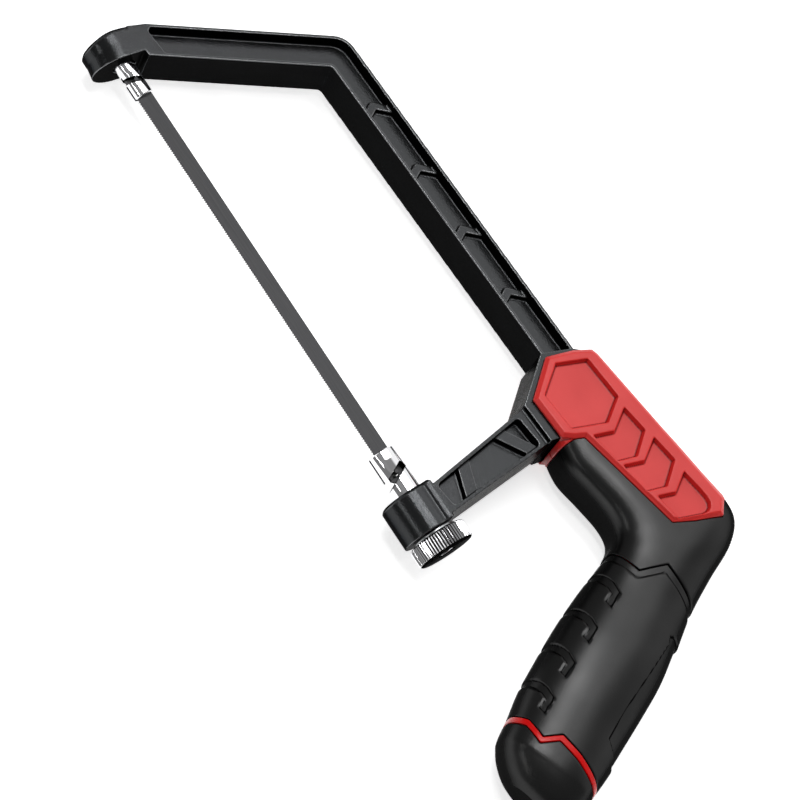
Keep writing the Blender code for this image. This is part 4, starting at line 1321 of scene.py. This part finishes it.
@dataclass
class Handle:
    """Red halves, black skins, red ring, butt and the screws that close it."""

    gap: float = 0.15
    ring_half: float = 1.1
    shell_voxel: float = 0.22
    shell_passes: int = 3
    shell_kept: float = 0.25
    screw_head: float = 2.8
    screw_radius: float = 1.5
    cross_reach: float = 1.5
    cross_half: float = 0.32
    cross_depth: float = 0.5
    screw_dome: tuple[Point2, ...] = ((0.0, 0.55), (0.06, 0.75), (0.22, 0.93), (0.4, 1.0),
                                      (0.62, 1.0))
    screw_seat: float = 0.7
    screw_rim: float = 0.08
    screw_point: float = 0.3
    screw_sides: int = 64
    screw_edge: float = 0.05
    screw_sharp: float = 40.0
    room_half: float = 20.0
    face: float = 14.8
    flush: float = 0.02
    recess: float = 2.0
    draft: float = 0.35
    mouth_share: float = 0.25
    arrow_start: float = 19.6
    arrow_pitch: float = 12.85
    arrows: int = 3
    panel_slope: float = math.radians(11.9)

    def recesses(self) -> list[Piece]:
        """Make the drafted cutters of the hexagon and the arrows that point down the handle.

        Returns:
            The cutters.
        """
        outlines = [HEXAGON]
        for i in range(self.arrows):
            reach = self.arrow_start + i * self.arrow_pitch
            left, top = reach * math.cos(self.panel_slope), reach * math.sin(self.panel_slope)
            shape = LAST_ARROW if i == self.arrows - 1 else ARROW
            outlines.append([(left + x, top + y) for x, y in shape])
        cutters = []
        for outline in outlines:
            mouth = at_hub(offset(outline, self.draft * self.mouth_share))
            floor = at_hub(offset(outline, -self.draft))
            levels = ((floor, -self.recess), (mouth, self.flush), (mouth, PAST))
            cutters.append(loft("recess", [[(x, y, self.face + level) for x, y in ring]
                                           for ring, level in levels]))
        return cutters

    def shells(self, finishes: Finishes) -> None:
        """Remake both red halves with moulded edges, the near one with drafted recesses.

        Args:
            finishes: the saw's finishes.
        """
        for side in ("near", "far"):
            shell = twin(f"{side}_red_shell", frame["nodes"][f"handle_core_{side}"])
            if side == "near":
                carve(shell, Cut.AWAY, *self.recesses())
            recast(shell, self.shell_voxel, self.shell_passes, self.shell_kept)
            fit(shell, finishes.red, Body.BOW, Slot.RED_PLASTIC, f"handle_core_{side}")

    def skins(self, finishes: Finishes) -> None:
        """Make the black skins, the red ring between them and the butt.

        Args:
            finishes: the saw's finishes.
        """
        form, half, black = GripForm(), self.ring_half, Slot.BLACK_SOFT_GRIP
        room = prism("room", at_hub(RED_EDGE), -self.room_half, self.room_half)
        Skin("palm_skin", "palm_sleeve", black, None, shifted(SEAM, -self.gap),
             (0.0, 11.5), 110).make(form, finishes.rubber, room)
        Skin("grip_skin", "grip_sleeve", black, shifted(SEAM, self.gap),
             shifted(RING, -half - self.gap), (5.0, 16.0), 190,
             GripRelief().at).make(form, finishes.rubber)
        Skin("red_band", "trim_ring", Slot.RED_PLASTIC, shifted(RING, self.gap - half),
             shifted(RING, half - self.gap), (10.0, 17.0), 8,
             inner_rows=3).make(form, finishes.red_gloss)
        Skin("butt_skin", "butt_cap", black, shifted(RING, half + self.gap), None,
             (10.0, 18.0), 60).make(form, finishes.rubber)

    def screws(self, finishes: Finishes) -> None:
        """Make the low-headed screws with their cross recesses, driven from the far side.

        Args:
            finishes: the saw's finishes.
        """
        rim, shank = self.screw_head, self.screw_radius
        for i in range(self.arrows + 1):
            low, high = saw_box(f"handle_screw_{i + 1}")
            head, tip, seat = low[2], high[2], low[2] + self.screw_seat
            middle = (low[0] + high[0]) / 2, (low[1] + high[1]) / 2
            profile = [(head + rise, rim * share) for rise, share in self.screw_dome]
            profile += [(seat, rim - self.screw_rim), (seat, shank),
                        (tip - self.screw_point, shank), (tip, shank - self.screw_point)]
            screw = upright(f"case_screw_{i + 1}", middle, profile, self.screw_sides)
            for wide, tall in ((self.cross_reach, self.cross_half),
                               (self.cross_half, self.cross_reach)):
                arm = [(middle[0] + x * wide, middle[1] + y * tall) for x, y in SQUARE]
                carve(screw, Cut.AWAY, prism("cross", arm, head - PAST, head + self.cross_depth))
            soften(screw, self.screw_edge, angle=self.screw_sharp)
            fit(screw, finishes.zinc, Body.BOW, Slot.ZINC_PLATED_STEEL, f"handle_screw_{i + 1}")


# ---------------------------------------------------------------- studio

@dataclass
class Softbox:
    """One rectangular lamp, aimed at the middle of the saw."""

    name: str
    direction: Point3
    distance: float
    size: Point2
    power: float

    def light(self, target: Vector) -> None:
        """Hang the lamp.

        Args:
            target: the place that it is aimed at, in metres.
        """
        lamp = bpy.data.lights.new(self.name, "AREA")
        lamp.shape = "RECTANGLE"
        lamp.size, lamp.size_y = self.size
        lamp.energy = self.power
        hung = bpy.data.objects.new(self.name, lamp)
        bpy.context.scene.collection.objects.link(hung)
        towards = Vector(self.direction).normalized()
        across = Vector((1.0, 0.0, 0.0))
        across = (across - towards * across.dot(towards)).normalized()
        turn = Matrix((across, towards.cross(across), towards)).transposed()
        hung.matrix_world = Matrix.Translation(target + towards * self.distance) @ turn.to_4x4()


@dataclass
class Studio:
    """Camera, lamps, surroundings and the pale floor.

    Each wall is the span of a direction's Y or Z over which its light comes in.
    """

    lens: float = 202.5
    sensor: float = 36.0
    far: float = 100.0
    target: Point3 = (127.3, 14.7, 0.0)
    distance: float = 1371.0
    camera_right: Point3 = (0.54836, 0.80564, 0.22417)
    camera_up: Point3 = (-0.82216, 0.47039, 0.32062)
    camera_back: Point3 = (0.15286, -0.36011, 0.92030)
    floor_colours: tuple[str, str] = ("efefef", "f2f2f2")
    floor_roughness: float = 0.9
    floor_shine: float = 0.1
    floor_clouds: float = 400.0
    floor_reach: float = 30.0
    floor_level: float = -0.2
    floor_glow: float = 0.66
    horizon: float = 0.2
    ceiling: float = 0.26
    ceiling_wall: Point2 = (0.64, 0.74)
    ahead_wall: Point2 = (-0.45, -0.3)
    window: float = 1.1
    window_wall: Point2 = (0.45, 0.7)
    blade_side: float = 0.28
    blade_wall: Point2 = (-0.05, -0.3)

    def camera(self) -> None:
        """Set the camera up."""
        lens = bpy.data.cameras.new("camera")
        lens.sensor_width = self.sensor
        lens.lens = self.lens
        lens.clip_end = self.far
        camera = bpy.data.objects.new("camera", lens)
        bpy.context.scene.collection.objects.link(camera)
        turn = Matrix((self.camera_right, self.camera_up, self.camera_back)).transposed()
        spot = world(self.target) + Vector(self.camera_back) * self.distance * MM
        camera.matrix_world = Matrix.Translation(spot) @ turn.to_4x4()
        bpy.context.scene.camera = camera

    def floor(self) -> None:
        """Lay the pale floor under the saw, white where it is seen or mirrored."""
        shape = bmesh.new()
        shape.faces.new([shape.verts.new((x * self.floor_reach, y * self.floor_reach,
                                          self.floor_level * MM)) for x, y in SQUARE])
        floor = object_from("floor", shape)
        if floor.data.polygons[0].normal.z < 0:
            floor.data.flip_normals()
        material, tree, shader = new_material("painted_floor", {
            "Roughness": self.floor_roughness, "Specular IOR Level": self.floor_shine,
            "Emission Color": linear("ffffff")})
        place = add_node(tree, "ShaderNodeTexCoord").outputs["Object"]
        cloud = add_node(tree, "ShaderNodeTexNoise", {
            "Scale": per_metre(self.floor_clouds), "Detail": 2.0}, {"Vector": place})
        stops = list(zip((0.0, 1.0), map(linear, self.floor_colours)))
        colour = add_node(tree, "ShaderNodeValToRGB", {"stops": stops},
                          {"Fac": cloud.outputs["Fac"]})
        seen = add_node(tree, "ShaderNodeLightPath").outputs
        shown = seen["Is Camera Ray"]
        for ray in ("Is Glossy Ray", "Is Transmission Ray"):
            shown = add_node(tree, "ShaderNodeMath", {"operation": "ADD", "use_clamp": True},
                             {0: shown, 1: seen[ray]}).outputs["Value"]
        glow = add_node(tree, "ShaderNodeMath", {"operation": "MULTIPLY", 1: self.floor_glow},
                        {0: shown})
        connect(shader, {"Emission Strength": glow.outputs["Value"],
                         "Base Color": colour.outputs["Color"]})
        floor.data.materials.append(material)

    def surroundings(self) -> None:
        """Make the dim room, with a bright wall beyond the spine and one on the blade's side."""
        room = bpy.data.worlds.new("room")
        room.use_nodes = True
        bpy.context.scene.world = room
        tree = room.node_tree
        way = add_node(tree, "ShaderNodeSeparateXYZ", links={
            "Vector": add_node(tree, "ShaderNodeTexCoord").outputs["Generated"]}).outputs
        window, near, above, ahead = (add_node(tree, "ShaderNodeMapRange", {
            "interpolation_type": "SMOOTHSTEP", "From Min": span[0], "From Max": span[1],
            "To Min": dim, "To Max": bright}, {"Value": way[axis]}).outputs["Result"]
            for axis, span, dim, bright in (
                ("Y", self.window_wall, self.ceiling, self.window),
                ("Y", self.blade_wall, 0.0, self.blade_side),
                ("Z", self.ceiling_wall, 0.0, 1.0), ("Y", self.ahead_wall, 0.0, 1.0)))
        walls, share = (add_node(tree, "ShaderNodeMath", {"operation": "MAXIMUM"},
                                 {0: first, 1: second}).outputs["Value"]
                        for first, second in ((window, near), (above, ahead)))
        level = add_node(tree, "ShaderNodeMapRange", {"To Min": self.horizon},
                         {"Value": share, "To Max": walls})
        sky = tree.nodes["Background"]
        sky.inputs["Color"].default_value = linear("ffffff")
        connect(sky, {"Strength": level.outputs["Result"]})

    def set_up(self) -> None:
        """Build the whole studio and hang its softboxes."""
        self.camera()
        self.floor()
        self.surroundings()
        target = world(self.target)
        for lamp in (Softbox("ceiling_softbox", (-0.15, 0.36, 0.92), 2.0, (1.0, 1.9), 10.2),
                     Softbox("overhead_strip", (-0.2, -0.1, 0.98), 1.0, (0.5, 0.06), 1.7),
                     Softbox("spine_strip", (-0.2, 0.14, 0.97), 1.0, (0.5, 0.09), 2.2),
                     Softbox("side_strip", (-0.2, -0.84, 0.52), 1.0, (0.5, 0.05), 0.7)):
            lamp.light(target)
        bpy.context.scene.view_settings.view_transform = "Standard"


# ---------------------------------------------------------------- assembly

def retaining_clip(finishes: Finishes) -> None:
    """Make the open spring clip in the front stud's groove.

    Args:
        finishes: the saw's finishes.
    """
    inner, outer, opening, steps = 2.0, 4.25, math.radians(70), 60
    edge, sharp = 0.06, 40.0
    turns = [(opening - math.pi) / 2 + (math.tau - opening) * k / steps for k in range(steps + 1)]
    outline = [(radius * math.cos(turn), radius * math.sin(turn))
               for radius, way in ((outer, 1), (inner, -1)) for turn in turns[::way]]
    clip = bar("spring_clip", outline, *saw_span("front_retaining_clip"))
    soften(clip, edge, angle=sharp)
    fit(clip, finishes.zinc, Body.BLADE_CARRIER, Slot.ZINC_PLATED_STEEL, "front_retaining_clip")


def holders() -> tuple[Holder, Holder, Piece]:
    """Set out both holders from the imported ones, with the cutter for the rear stud's flat.

    Returns:
        The front holder, the rear holder and the cutter.
    """
    stud, groove, room, edge, over = 2.5, 1.8, 0.2, 0.3, 2.0
    low, high = saw_span("front_holder")
    clip_low, clip_high = saw_span("front_retaining_clip")
    shoulder, head = -8.41, 3.1
    front = Holder("front_blade_holder", "front_holder", Body.BLADE_CARRIER, 0.0, 1, [
        (low, stud - edge), (low + edge, stud), (clip_low - room, stud), (clip_low - room, groove),
        (clip_high + room, groove), (clip_high + room, stud), (shoulder, stud), (shoulder, head),
        (high - edge, head), (high, head - edge)], slot=(-3.1, high + over),
        lean=math.radians(20), reach=2.4, play=0.0, radius=head)
    low, high = saw_span("rear_holder")
    shoulder, head = 162.9, 4.6
    rear = Holder("rear_blade_holder", "rear_holder", Body.REAR_STUD, Blade.spacing, -1, [
        (low, head - edge), (low + edge, head), (shoulder, head), (shoulder, stud),
        (high - edge, stud), (high, stud - edge)], slot=(low - over, 149.9),
        lean=math.radians(28), reach=3.0, play=0.8, radius=head)
    flat, far = 2.1, 5.0
    cutter = bar("flat", [(-far, flat), (far, flat), (far, far), (-far, far)],
                 shoulder + edge, high + over)
    return front, rear, cutter


def write_sizes() -> None:
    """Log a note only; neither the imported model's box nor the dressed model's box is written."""
    log.info("sizes written")


def main() -> None:
    """Build the studio and every piece of the saw."""
    logging.basicConfig(level=logging.INFO, format="%(message)s")
    Studio().set_up()
    finishes = Finishes()
    bow = Bow()
    bow.cast(finishes)
    bow.front_washer(finishes)
    blade = Blade()
    blade.strip(finishes)
    blade.pins(finishes)
    front, rear, flat = holders()
    front.make(finishes)
    rear.make(finishes, flat)
    retaining_clip(finishes)
    knob = Knob()
    knob.make(finishes)
    knob.washer(finishes)
    handle = Handle()
    handle.shells(finishes)
    handle.skins(finishes)
    handle.screws(finishes)
    write_sizes()


if __name__ == "__main__":
    main()
